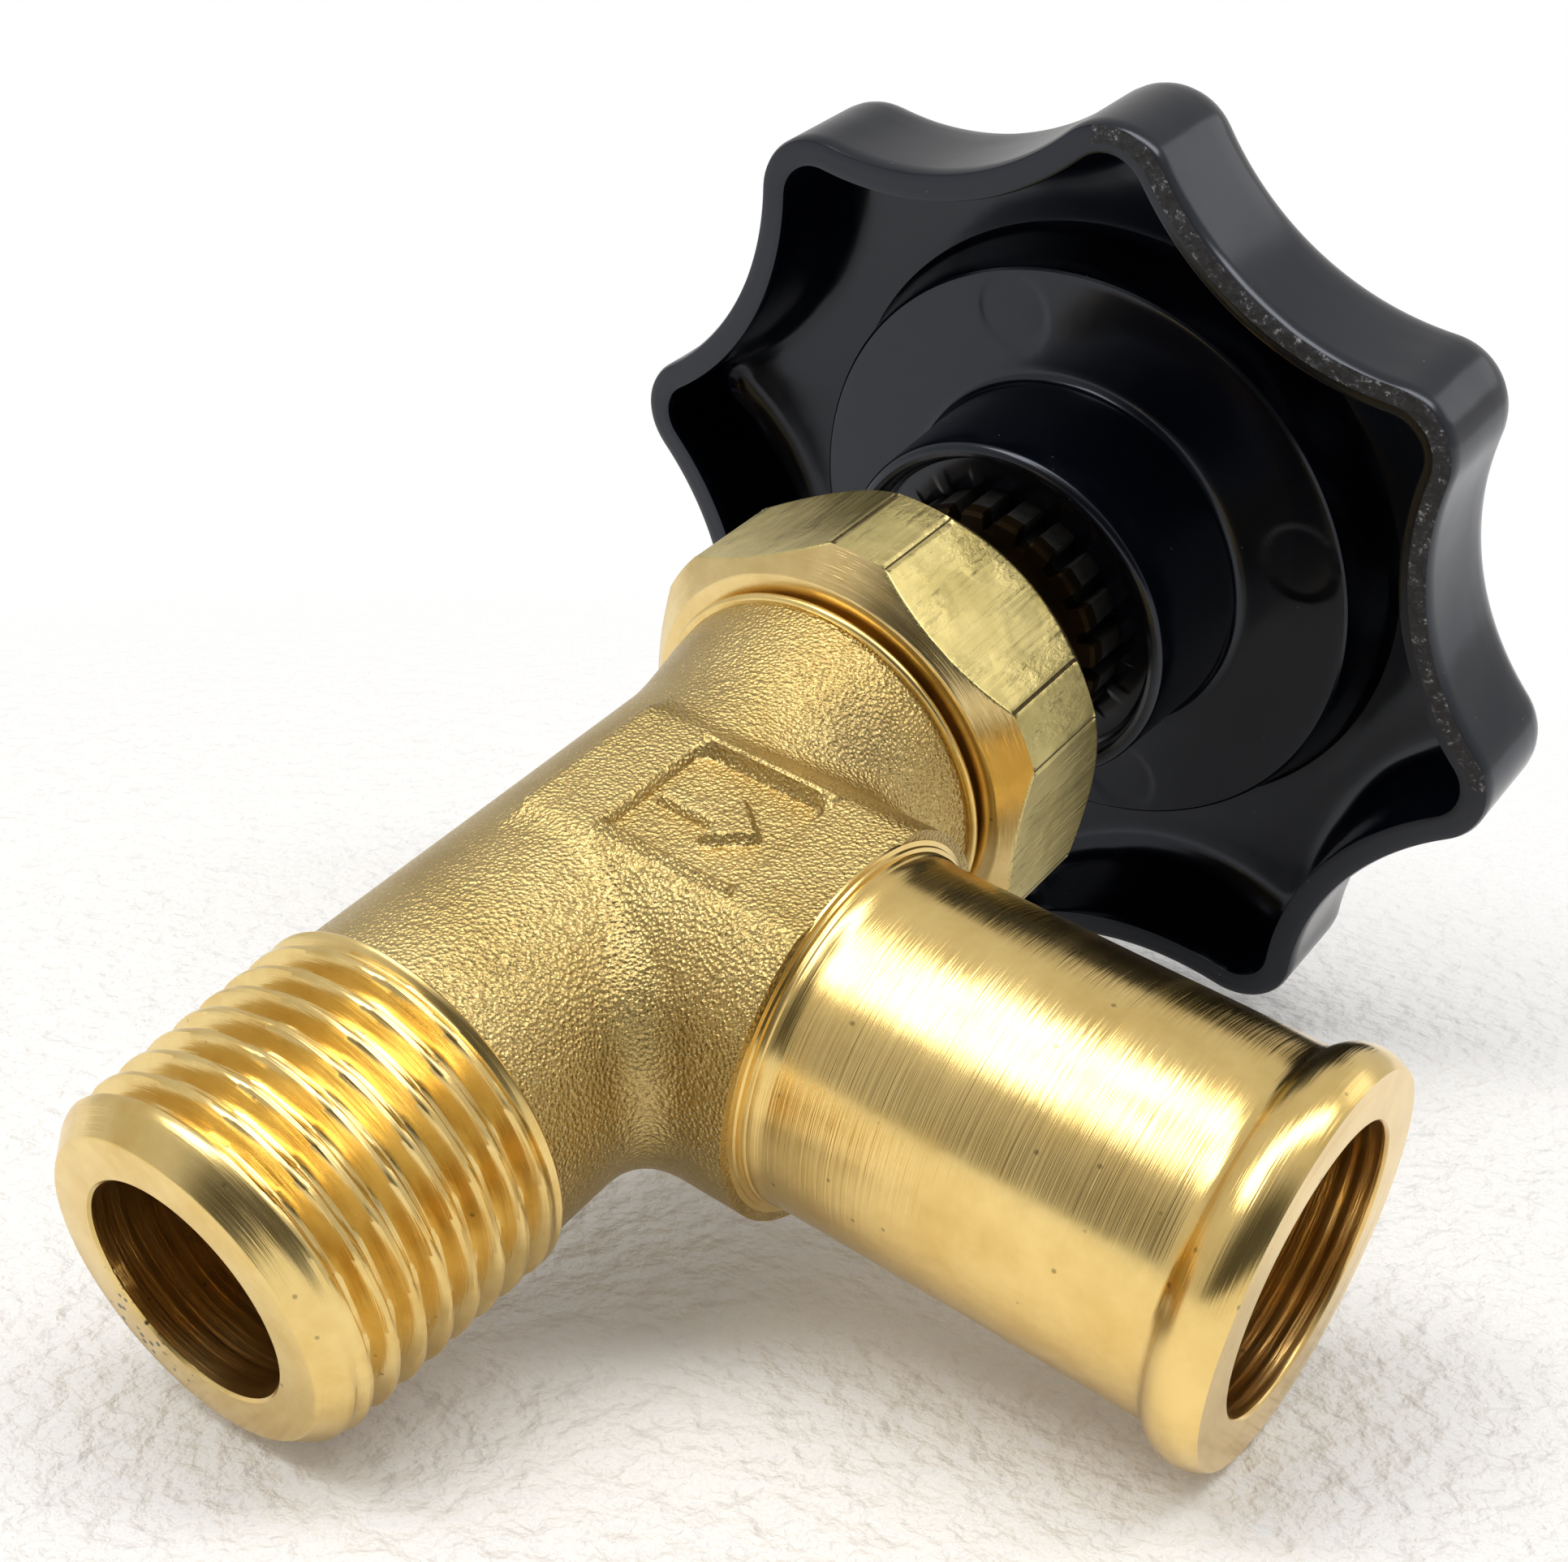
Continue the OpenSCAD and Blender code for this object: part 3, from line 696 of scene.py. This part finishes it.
bodyForging = makeForging()
emboss(bodyForging)
cutEnds(bodyForging)
subtract(bodyForging, makeCutter("chamberCutter", chamberProfile))
portProfile = [(0, 0), (bores["port"], 0), (bores["port"], 14), (0, 14)]
subtract(bodyForging, makeCutter("portCutter", portProfile, alongX=True))
centres = faceCentres(bodyForging)
fromStem = np.hypot(centres[:, 0], centres[:, 1])
fromOutlet = np.hypot(centres[:, 1], centres[:, 2] - outletHeight)
inChamber = (fromStem < bores["packing"] + 0.05) & (centres[:, 2] > forging["bottom"] + 0.05)
inChamber &= centres[:, 2] < forging["top"] - 0.05
inPort = (fromOutlet < bores["port"] + 0.05) & (centres[:, 0] > 0)
inPort &= centres[:, 0] < forging["bossEnd"] - 0.05
paintFaces(bodyForging, (inChamber | inPort).astype(int))
finishPiece(bodyForging, "valve_shell", [forgedBrass, boredBrass], ["valve_body"], 40)


# inlet thread
inletThread = {
    "pitch": 1.411,
    "crest": 8.25,
    "depth": 0.88,
    "length": 12.4,
    "bore": 5.2,
    "start": 1.0,
    "runOut": 11.9,
    "nick": 2.6,  # angle of the nick in the bore's edge
}


def threadForm(phase, crestHalf, rootHalf):
    # 0 on the crest and 1 in the root, for phase counted in pitches from a crest
    away = np.abs((phase + 0.5) % 1 - 0.5)
    return np.clip((away - crestHalf) / (0.5 - rootHalf - crestHalf), 0, 1)


def cutTaperThread(radius, height, angle):
    made = inletThread
    outside = radius > 7.9
    taper = made["crest"] + height / 32
    form = threadForm(height / made["pitch"] - angle / (2 * math.pi) - 0.28, 0.09, 0.08)
    fade = smoothStep(height, made["start"] - 0.3, made["start"] + 1.3)
    fade = fade * (1 - smoothStep(height, made["runOut"] - 0.5, made["runOut"] + 0.4))
    wobble = 0.02 * np.sin(7 * angle + 3 * height) * np.sin(2.3 * angle)
    threaded = taper - (made["depth"] + wobble) * form * fade
    radius = np.where(outside & (height > 0.3) & (height < made["length"] - 0.05),
                      np.minimum(radius, threaded), radius)
    # ragged nick where the drill broke the edge of the bore
    near = np.exp(-((angle - made["nick"]) / 0.13) ** 2) * ((radius < 5.6) & (height < 0.4))
    return radius + near * (0.03 + 0.08 * np.abs(np.sin(37 * angle) * np.sin(91 * angle + 1))), height


def makeInletThread():
    made = inletThread
    endRadius = made["crest"] + made["length"] / 32
    outer = [(7.15, 0), (7.24, 0.03)] + divide([(7.3, 0.1), (8.06, 0.96)], 0.12) + [(8.2, 1.15)]
    crestStart = made["crest"] + 1.3 / 32
    outer += divide([(crestStart, 1.35), (endRadius, made["length"] - 0.12)], 0.1)
    outer += [(endRadius - 0.05, made["length"] - 0.03), (endRadius - 0.2, made["length"]),
              (8.15, made["length"] + 0.02), (8.0, forging["bottom"] + 0.15)]
    inner = divide([(made["bore"], forging["bottom"] + 0.15), (made["bore"], 0.15)], 0.2)
    rough = np.random.default_rng(5)
    inner = [(r + rough.uniform(0, 0.04), h) for r, h in inner[:-1]] + [(made["bore"] + 0.02, 0.12),
                                                                      (made["bore"] + 0.14, 0)]
    return turn("inletThread", outer + inner, 224, cutTaperThread)


def splitBore(piece, limit, alongX=False):
    centre = faceCentres(piece)
    if alongX:
        away = np.hypot(centre[:, 1], centre[:, 2] - outletHeight)
    else:
        away = np.hypot(centre[:, 0], centre[:, 1])
    paintFaces(piece, (away < limit).astype(int))


threadPiece = makeInletThread()
splitBore(threadPiece, 5.27)
finishPiece(threadPiece, "valve_shell", [pittedBrass, boredBrass], ["valve_body"])


# hose spigot
hoseSpigot = {
    "radius": 8.27,
    "bore": 6.45,
    "end": 34.1,
    "beadCentre": (7.22, 32.9),
    "beadSection": 1.93,
}


def makeHoseSpigot():
    made = hoseSpigot
    beadR, beadX = made["beadCentre"]
    first = math.degrees(math.asin((made["radius"] - beadR) / made["beadSection"]))
    outer = [(8.9, 12.05), (8.88, 12.16), (8.66, 12.22), (8.62, 12.34), (8.44, 12.38), (8.42, 12.6),
             (8.34, 12.66), (8.33, 13.0), (8.28, 13.1)]
    outer += divide([(made["radius"], 13.6), (made["radius"] - 0.02, 22), (made["radius"], 30.6)], 0.35)
    neck = [(made["radius"] + 0.02, 31.1), (made["radius"] + 0.12, 31.35)]
    outer += neck + [(beadR + made["beadSection"] * math.sin(math.radians(a)),
                      beadX - made["beadSection"] * math.cos(math.radians(a)))
                     for a in np.linspace(first + 9, 128, 26)]
    outer += [(8.1, made["end"] - 0.03), (7.9, made["end"]), (7.6, made["end"] - 0.02), (7.3, made["end"]),
              (7.0, made["end"] - 0.015), (made["bore"] + 0.12, made["end"]),
              (made["bore"] + 0.02, made["end"] - 0.1)]
    inner = divide([(made["bore"], made["end"] - 0.15), (made["bore"], 12.4)], 0.2)
    rough = np.random.default_rng(11)
    inner = [(r + rough.uniform(0, 0.045), h) for r, h in inner]
    inner += [(6.0, 12.4), (6.0, 12.05)]
    return turn("hoseSpigot", outer + inner, 224, alongX=True)


spigotPiece = makeHoseSpigot()
splitBore(spigotPiece, 6.52, alongX=True)
finishPiece(spigotPiece, "valve_shell", [turnedAlongX, boredAlongX], ["valve_body"])


# neck under the nut
def cutNeckThread(radius, height, angle):
    form = threadForm(height / 1.25 - angle / (2 * math.pi), 0.1, 0.12)
    inThread = (height > 42.3) & (height < 46.2) & (radius > 8.7)
    return np.where(inThread, radius - 0.7 * form, radius), height


neckProfile = [(7.4, 40.9), (9.3, 40.9)] + [p[:2] for p in arc((9.3, 41.17), 0.24, -90, 90, 6)]
neckProfile += [(9.1, 41.45), (8.62, 41.5), (8.6, 42.0)] + divide([(9.0, 42.2), (9.0, 46.1)], 0.14)
neckProfile += [(8.5, 46.5), (7.4, 46.5)]
neckPiece = turn("bodyNeck", neckProfile, 160, cutNeckThread)
finishPiece(neckPiece, "valve_shell", [turnedAlongZ], ["valve_body"])


# bonnet nut
bonnetNut = {
    "flats": 22.0,
    "cornerRadius": 11.9,
    "bottom": 41.7,
    "top": 49.9,
    "turn": 33.7,
    "edge": 0.05,
    "scribe": 0.09,  # depth of the score where each land meets a flat
    "scoreWidth": 0.0075,
}


# angle from the middle of a flat to where it meets the turned land at the hexagon's corner
landEdge = math.acos(bonnetNut["flats"] / 2 / bonnetNut["cornerRadius"])


def hexagonSide(angle):
    # angle from the middle of the nearest flat, and the flat's distance from the axis there
    side = (angle - math.radians(bonnetNut["turn"])) % (math.pi / 3) - math.pi / 6
    return side, bonnetNut["flats"] / 2 / np.cos(side)


def millHexagon(radius, height, angle):
    made = bonnetNut
    side, flat = hexagonSide(angle)
    milled = smoothMin(radius, flat, made["edge"])
    onWall = (height > made["bottom"] + 1.4) & (height < made["top"] - 1.3)
    milled = milled - made["scribe"] * np.exp(-((np.abs(side) - landEdge) / 0.012) ** 2) * onWall
    return np.where(radius > 10, milled, radius), height


def makeBonnetNut():
    made = bonnetNut
    outer = divide([(9.1, made["bottom"]), (10.2, made["bottom"])], 0.3)
    outer += divide([(10.35, made["bottom"] + 0.04), (made["cornerRadius"], made["bottom"] + 1.35)], 0.09)
    outer += divide([(made["cornerRadius"], made["bottom"] + 1.45),
                     (made["cornerRadius"], made["top"] - 1.4)], 0.2)
    outer += divide([(made["cornerRadius"], made["top"] - 1.3), (10.93, made["top"] - 0.08)], 0.09)
    outer += [(10.65, made["top"] - 0.02), (10.4, made["top"]), (9.6, made["top"])]
    outer += divide([(8.8, made["top"]), (4.7, made["top"])], 0.5)
    # the hole with its dust ring groove, then the room for the packing and the neck's thread
    inner = [(4.4, made["top"] - 0.05), (4.3, made["top"] - 0.25), (4.3, 49.35), (4.95, 49.35)]
    inner += [(4.95, 48.35), (4.3, 48.35), (4.3, 48.0), (7.5, 48.0), (7.5, 46.9), (9.05, 46.9)]
    inner += [(9.05, 42.0), (9.15, 41.8)]
    return turn("bonnetNut", outer + inner, 720, millHexagon)


nutPiece = makeBonnetNut()
centres = faceCentres(nutPiece)
nutRadius = np.hypot(centres[:, 0], centres[:, 1])
side, flat = hexagonSide(np.arctan2(centres[:, 1], centres[:, 0]))
onLand = (nutRadius > 11.75) & (centres[:, 2] > 43.05) & (centres[:, 2] < 48.62)
onFlat = (nutRadius > flat - 0.06) | onLand
onScore = onFlat & (np.abs(np.abs(side) - landEdge) < bonnetNut["scoreWidth"])
onScore &= (centres[:, 2] > 43.1) & (centres[:, 2] < 48.6)
paintFaces(nutPiece, np.where(onScore, 2, np.where(onFlat, 0, 1)))
finishPiece(nutPiece, "valve_shell", [drawnBrass, chamferBrass, darkScoreLine], ["bonnet_nut"], 28)


# stem
stem = {
    "threadRadius": 5.0,
    "threadBottom": 33.35,
    "threadTop": 42.4,
    "pitch": 2.0,
    "shank": 4.0,
    "headBottom": 56.1,
    "headTop": 64.6,
    "headRadius": 7.0,
    "teeth": 20,
    "gap": 0.8,
    "toothDepth": 0.9,
    # height above which the stem's head is painted dark brown: painted shade
    "paintedShadeFrom": 54.5,
    # height above which the head is near-black: painted shade inside the hub, with grease
    "greaseAndShadeFrom": 57.0,
}


def cutStem(radius, height, angle):
    made = stem
    inThread = (height > made["threadBottom"]) & (height < made["threadTop"] - 0.15) & (radius > 4.5)
    form = threadForm(height / made["pitch"] - angle / (2 * math.pi), 0.14, 0.14)
    radius = np.where(inThread, radius - 0.95 * form, radius)
    pitchAngle = 2 * math.pi / made["teeth"]
    across = np.abs(((angle + pitchAngle / 2) % pitchAngle) - pitchAngle / 2) * made["headRadius"]
    gap = 1 - smoothStep(across, made["gap"] / 2 - 0.08, made["gap"] / 2 + 0.08)
    onHead = (radius > 6.0) & (height > made["headBottom"] - 0.05)
    cut = np.minimum(radius, made["headRadius"] - made["toothDepth"] * gap)
    return np.where(onHead, cut, radius), height


def makeStem():
    made = stem
    outer = [(0, 29.9), (2.9, 29.9), (3.1, 30.1), (3.1, 31.2), (2.9, 31.4), (2.3, 31.4), (2.3, 33.3)]
    thread, shank, head, top = made["threadRadius"], made["shank"], made["headRadius"], made["headTop"]
    outer += [(4.05, 33.36)] + divide([(thread, 33.4), (thread, 42.2)], 0.14)
    outer += [(4.8, 42.38), (4.05, 42.4), (shank, 42.6)] + divide([(shank, 43), (shank, 54.4)], 0.5)
    outer += [(4.15, 55.2), (5.5, 56.05), (5.6, 56.1), (6.1, 56.1), (6.8, 56.12), (head, 56.3)]
    outer += divide([(head, 56.5), (head, 57.0), (head, 64.3)], 0.4)
    outer += [(6.9, 64.5), (6.1, top), (2.3, top), (2.05, 64.4), (2.05, 58), (0, 57)]
    return turn("valveStem", outer, 400, cutStem, closed=False)


stemPiece = makeStem()
stemHeight = faceCentres(stemPiece)[:, 2]
# painted shade on the stem's head: dark brown above the nut, then near-black with grease inside the wheel's
# hub
paintFaces(stemPiece, (stemHeight > stem["paintedShadeFrom"]).astype(int) + (stemHeight > stem["greaseAndShadeFrom"]))
finishPiece(stemPiece, "spindle", [turnedAlongZ, paintedShadeBrass, greaseAndPaintedShade], ["stem"])


# handwheel
handwheel = {
    "lobes": 8,
    "tip": 27.25,
    "valley": 23.3,
    "tipArc": 3.65,
    "wall": 1.55,
    "phase": 5.1,
    "rim": 61.15,
    "domeTop": 73.2,
    "domeRadius": 85.0,
    "wallTop": 67.0,
    "rounding": 2.6,  # from the wall to the dome
    "floorDrop": 2.0,  # the dome's thickness
    "discFace": 65.3,
    "ejector": (14.4, 2.15, (-110, -20, 70, 160)),  # radius, size and angles of the ejector pin marks
    "segments": 512,
    "filedWidth": 0.95,
    "filed": (-88, 3),  # between these angles
}


def lobedRadius(angle, inset):
    # tip arcs meet hollow arcs smoothly; inset moves the outline inwards
    made = handwheel
    half = math.pi / made["lobes"]
    tipCentre = made["tip"] - made["tipArc"]
    hollow = ((made["tipArc"] ** 2 - tipCentre ** 2 - made["valley"] ** 2
               + 2 * tipCentre * made["valley"] * math.cos(half))
              / (2 * (made["valley"] - tipCentre * math.cos(half) - made["tipArc"])))
    hollowCentre = made["valley"] + hollow
    meet = math.atan2(hollowCentre * math.sin(half), hollowCentre * math.cos(half) - tipCentre)
    tipRadius = made["tipArc"] - inset
    hollowRadius = hollow + inset
    joint = np.arctan2(tipRadius * math.sin(meet), tipCentre + tipRadius * math.cos(meet))
    fold = np.abs((angle - math.radians(made["phase"]) + half) % (2 * half) - half)
    onTip = tipCentre * np.cos(fold) + np.sqrt(
        np.maximum(tipRadius ** 2 - (tipCentre * np.sin(fold)) ** 2, 0))
    toHollow = half - fold
    inHollow = hollowCentre * np.cos(toHollow) - np.sqrt(
        np.maximum(hollowRadius ** 2 - (hollowCentre * np.sin(toHollow)) ** 2, 0))
    return np.where(fold < joint, onTip, inHollow)


def domeHeight(radius, drop=0.0):
    return handwheel["domeTop"] - drop - handwheel["domeRadius"] + np.sqrt(
        handwheel["domeRadius"] ** 2 - radius ** 2)


def wheelRings():
    # each ring is (inset of the lobed outline, round radius, share of round, height, share of dome, drop)
    made = handwheel
    wallTop, rounding, drop = made["wallTop"], made["rounding"], made["floorDrop"]
    # up the outside of the wall and over the dome
    rings = [(0.28, 0, 0, made["rim"], 0, 0), (0.1, 0, 0, made["rim"] + 0.07, 0, 0),
             (0.0, 0, 0, made["rim"] + 0.28, 0, 0)]
    rings += [(0.0, 0, 0, h, 0, 0) for h in np.linspace(made["rim"] + 0.9, wallTop, 6)]
    for a in np.radians(np.linspace(12, 84, 8)):
        rings.append((rounding * (1 - math.cos(a)), 0, 0, wallTop + rounding * math.sin(a), 0, 0))
    rings += [(rounding + 0.6, 0, 0, 0, 1, 0)]
    rings += [(rounding + 0.6, 15.4, t, 0, 1, 0) for t in (0.2, 0.4, 0.6, 0.8, 0.93)]
    # down the recess for the cap and through the socket to the hub's recess
    rings += [(0, 15.45, 1, 0, 1, 0.02), (0, 15.32, 1, 0, 1, 0.12), (0, 15.3, 1, 71.4, 0, 0),
              (0, 15.3, 1, 67.9, 0, 0), (0, 15.1, 1, 67.7, 0, 0), (0, 9, 1, 67.7, 0, 0),
              (0, 2.6, 1, 67.7, 0, 0), (0, 2.6, 1, 64.62, 0, 0), (0, 7.06, 1, 64.62, 0, 0)]
    rings += [(0, 7.06, 1, 58.75, 0, 0), (0, 7.3, 1, 58.65, 0, 0), (0, 8.45, 1, 58.65, 0, 0),
              (0, 8.8, 1, 58.72, 0, 0)]
    # round the hub's lip, up the hub and out along the raised disc
    rings += [(0, 9.0, 1, 58.6, 0, 0), (0, 9.1, 1, 58.3, 0, 0), (0, 9.16, 1, 58.05, 0, 0),
              (0, 9.22, 1, 57.85, 0, 0), (0, 9.36, 1, 57.68, 0, 0), (0, 9.6, 1, 57.6, 0, 0),
              (0, 9.85, 1, 57.66, 0, 0), (0, 10.02, 1, 57.82, 0, 0), (0, 10.1, 1, 58.05, 0, 0)]
    rings += [(0, 10.1 + 0.3 * t, 1, 58.05 + t * 6.6, 0, 0) for t in (0.25, 0.5, 0.75, 1.0)]
    rings += [(0, 10.4 + 0.65 * (1 - math.cos(a)), 1, 64.65 + 0.65 * math.sin(a), 0, 0)
              for a in np.radians((25, 50, 75, 90))]
    rings += [(0, r, 1, made["discFace"], 0, 0) for r in np.arange(11.4, 16.55, 0.3)]
    rings += [(0, 16.66, 1, 65.32, 0, 0), (0, 16.79, 1, 65.42, 0, 0), (0, 16.86, 1, 65.6, 0, 0),
              (0, 17.1, 1, 66.6, 0, 0), (0, 17.5, 1, 68.5, 0, 0)]
    # under the dome and down the inside of the wall to the rim
    rings += [(0, 17.66, 1, 68.95, 0, 0), (0, 17.95, 1, 0, 1, drop), (0, 18.4, 1, 0, 1, drop - 0.02)]
    inside = made["wall"]
    fillet = 1.5
    rings += [(inside + fillet, 18.6, 1 - t, 0, 1, drop) for t in (0.25, 0.5, 0.75, 1.0)]
    for a in np.radians(np.linspace(15, 90, 6)):
        rings.append((inside + fillet * (1 - math.sin(a)), 0, 0, -fillet * (1 - math.cos(a)), 1, drop))
    rings += [(inside - 0.02, 0, 0, h, 0, 0) for h in np.linspace(64.6, made["rim"] + 0.8, 6)]
    rings += [(inside - 0.02, 0, 0, made["rim"] + 0.18, 0, 0),
              (inside - 0.08, 0, 0, made["rim"] + 0.04, 0, 0), (inside - 0.22, 0, 0, made["rim"], 0, 0),
              (1.0, 0, 0, made["rim"], 0, 0), (0.6, 0, 0, made["rim"], 0, 0)]
    return rings


def pressEjectorMarks(places):
    radius, size, angles = handwheel["ejector"]
    onDisc = np.abs(places[:, 2] - handwheel["discFace"]) < 0.01
    for angle in angles:
        a = math.radians(angle)
        away = np.hypot(places[:, 0] - radius * math.cos(a), places[:, 1] - radius * math.sin(a))
        dent = 0.07 * (1 - smoothStep(away, size - 0.18, size + 0.1))
        places[:, 2] += np.where(onDisc, dent, 0)


def makeHandwheel():
    made = handwheel
    rings = np.array(wheelRings(), float)
    piece = spinRings("lobedWheel", len(rings), made["segments"])
    ring, angle = ringsAndAngles(piece)
    inset, roundRadius, share, height, domed, drop = rings[ring].T
    radius = (1 - share) * lobedRadius(angle, inset) + share * roundRadius
    height = np.where(domed > 0, height + domeHeight(radius, drop), height)
    # teeth of the socket that grips the stem
    pitchAngle = 2 * math.pi / stem["teeth"]
    across = np.abs(((angle + pitchAngle / 2) % pitchAngle) - pitchAngle / 2) * stem["headRadius"]
    ridge = 1 - smoothStep(across, stem["gap"] / 2 - 0.12, stem["gap"] / 2 + 0.04)
    inSocket = (roundRadius > 7.0) & (roundRadius < 7.1) & (share == 1)
    radius = np.where(inSocket, radius - 0.86 * ridge, radius)
    places = np.stack([radius * np.cos(angle), radius * np.sin(angle), height], axis=1)
    pressEjectorMarks(places)
    placeVertices(piece, places)
    tidyMesh(piece)
    return piece


wheelPiece = makeHandwheel()
centres = faceCentres(wheelPiece)
around = np.degrees(np.arctan2(centres[:, 1], centres[:, 0]))
fromAxis = np.hypot(centres[:, 0], centres[:, 1])
# the flash was filed off along one side, on the outer part of the rim
isFiled = (centres[:, 2] < handwheel["rim"] + 0.12) & (fromAxis > 19)
isFiled &= fromAxis > lobedRadius(np.radians(around), handwheel["filedWidth"])
isFiled &= (around > handwheel["filed"][0]) & (around < handwheel["filed"][1])
paintFaces(wheelPiece, isFiled.astype(int))
finishPiece(wheelPiece, "spindle", [glossyMoulding, trimmedMoulding], ["handwheel"], 30)


# cap in the wheel's top
def makeWheelCap():
    radii = np.linspace(14.9, 0, 18)
    dome = list(zip(radii, domeHeight(radii) + 0.5))
    profile = [(0, 71.4), (13.9, 71.4), (14.0, 67.7), (15.2, 67.7), (15.2, 71.9), (15.14, 72.15)] + dome
    return turn("wheelCap", profile, 160, closed=False)


capPiece = makeWheelCap()
finishPiece(capPiece, "spindle", [glossyMoulding], ["wheel_cap"])


# inner parts keep their frame shapes
innerFinish = {
    "bonnet_gasket": pressedFibre,
    "bonnet": turnedAlongZ,
    "packing_washer": turnedAlongZ,
    "lower_packing_ring": turnedFluoropolymer,
    "upper_packing_ring": turnedFluoropolymer,
    "packing_gland": turnedAlongZ,
    "dust_ring": nitrileRubber,
    "seat_washer": nitrileRubber,
    "washer_plate": turnedAlongZ,
    "washer_screw": turnedAlongZ,
    "disc_holder": turnedAlongZ,
    "disc_retaining_ring": springSteel,
    "wheel_flat_washer": zincPlate,
    "wheel_spring_washer": springSteel,
    "wheel_screw": zincPlate,
}
for node, material in innerFinish.items():
    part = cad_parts[node]
    for i in range(max(1, len(part.material_slots))):
        if part.material_slots:
            part.material_slots[i].material = material
        else:
            part.data.materials.append(material)
print("inner parts finished")


# table
def makeTable():
    # sheet of white packing foam: soft cells a few millimetres wide, fading to plain white further off
    deselectAll()
    bpy.ops.mesh.primitive_plane_add(size=table["size"])
    floor = bpy.context.object
    floor.name = floor.data.name = "table"
    turnTo = tableUp.to_track_quat("Z", "Y").to_matrix().to_4x4()
    floor.matrix_world = Matrix.Translation(tableDown * table["distance"] * mm) @ turnTo
    material, tree, coords = newMaterial("packingFoam")
    cells = addNode(tree, "ShaderNodeTexVoronoi", {"Vector": coords, "Scale": 700.0},
                    {"feature": "SMOOTH_F1"})
    grain = addNode(tree, "ShaderNodeTexNoise", {"Vector": coords, "Scale": 1300.0, "Detail": 4.0})
    relief = addNode(tree, "ShaderNodeMath", {0: cells.outputs["Distance"], 1: grain.outputs["Fac"]},
                     {"operation": "ADD"})
    bump = addNode(tree, "ShaderNodeBump", {"Height": relief.outputs[0], "Strength": 0.8,
                                            "Distance": 0.0007})
    foam = addNode(tree, "ShaderNodeBsdfPrincipled", {"Base Color": linear(table["white"]), "Roughness": 0.6,
                                                      "Normal": bump.outputs[0]})
    away = addNode(tree, "ShaderNodeVectorMath", {0: coords}, {"operation": "LENGTH"})
    farOff = addNode(tree, "ShaderNodeMapRange", {"Value": away.outputs["Value"],
                                                  "From Min": table["fade"][0],
                                                  "From Max": table["fade"][1], "To Min": 0.1},
                     {"interpolation_type": "SMOOTHSTEP"})
    plain = addNode(tree, "ShaderNodeEmission", {"Color": (1, 1, 1, 1), "Strength": 1.0})
    faded = addNode(tree, "ShaderNodeMixShader", {0: farOff.outputs["Result"], 1: foam.outputs[0],
                                                  2: plain.outputs[0]})
    clear = addNode(tree, "ShaderNodeBsdfTransparent")
    side = addNode(tree, "ShaderNodeNewGeometry")
    oneSided = addNode(tree, "ShaderNodeMixShader", {0: side.outputs["Backfacing"], 1: faded.outputs[0],
                                                     2: clear.outputs[0]})
    addNode(tree, "ShaderNodeOutputMaterial", {"Surface": oneSided.outputs[0]})
    floor.data.materials.append(material)


makeTable()
deselectAll()
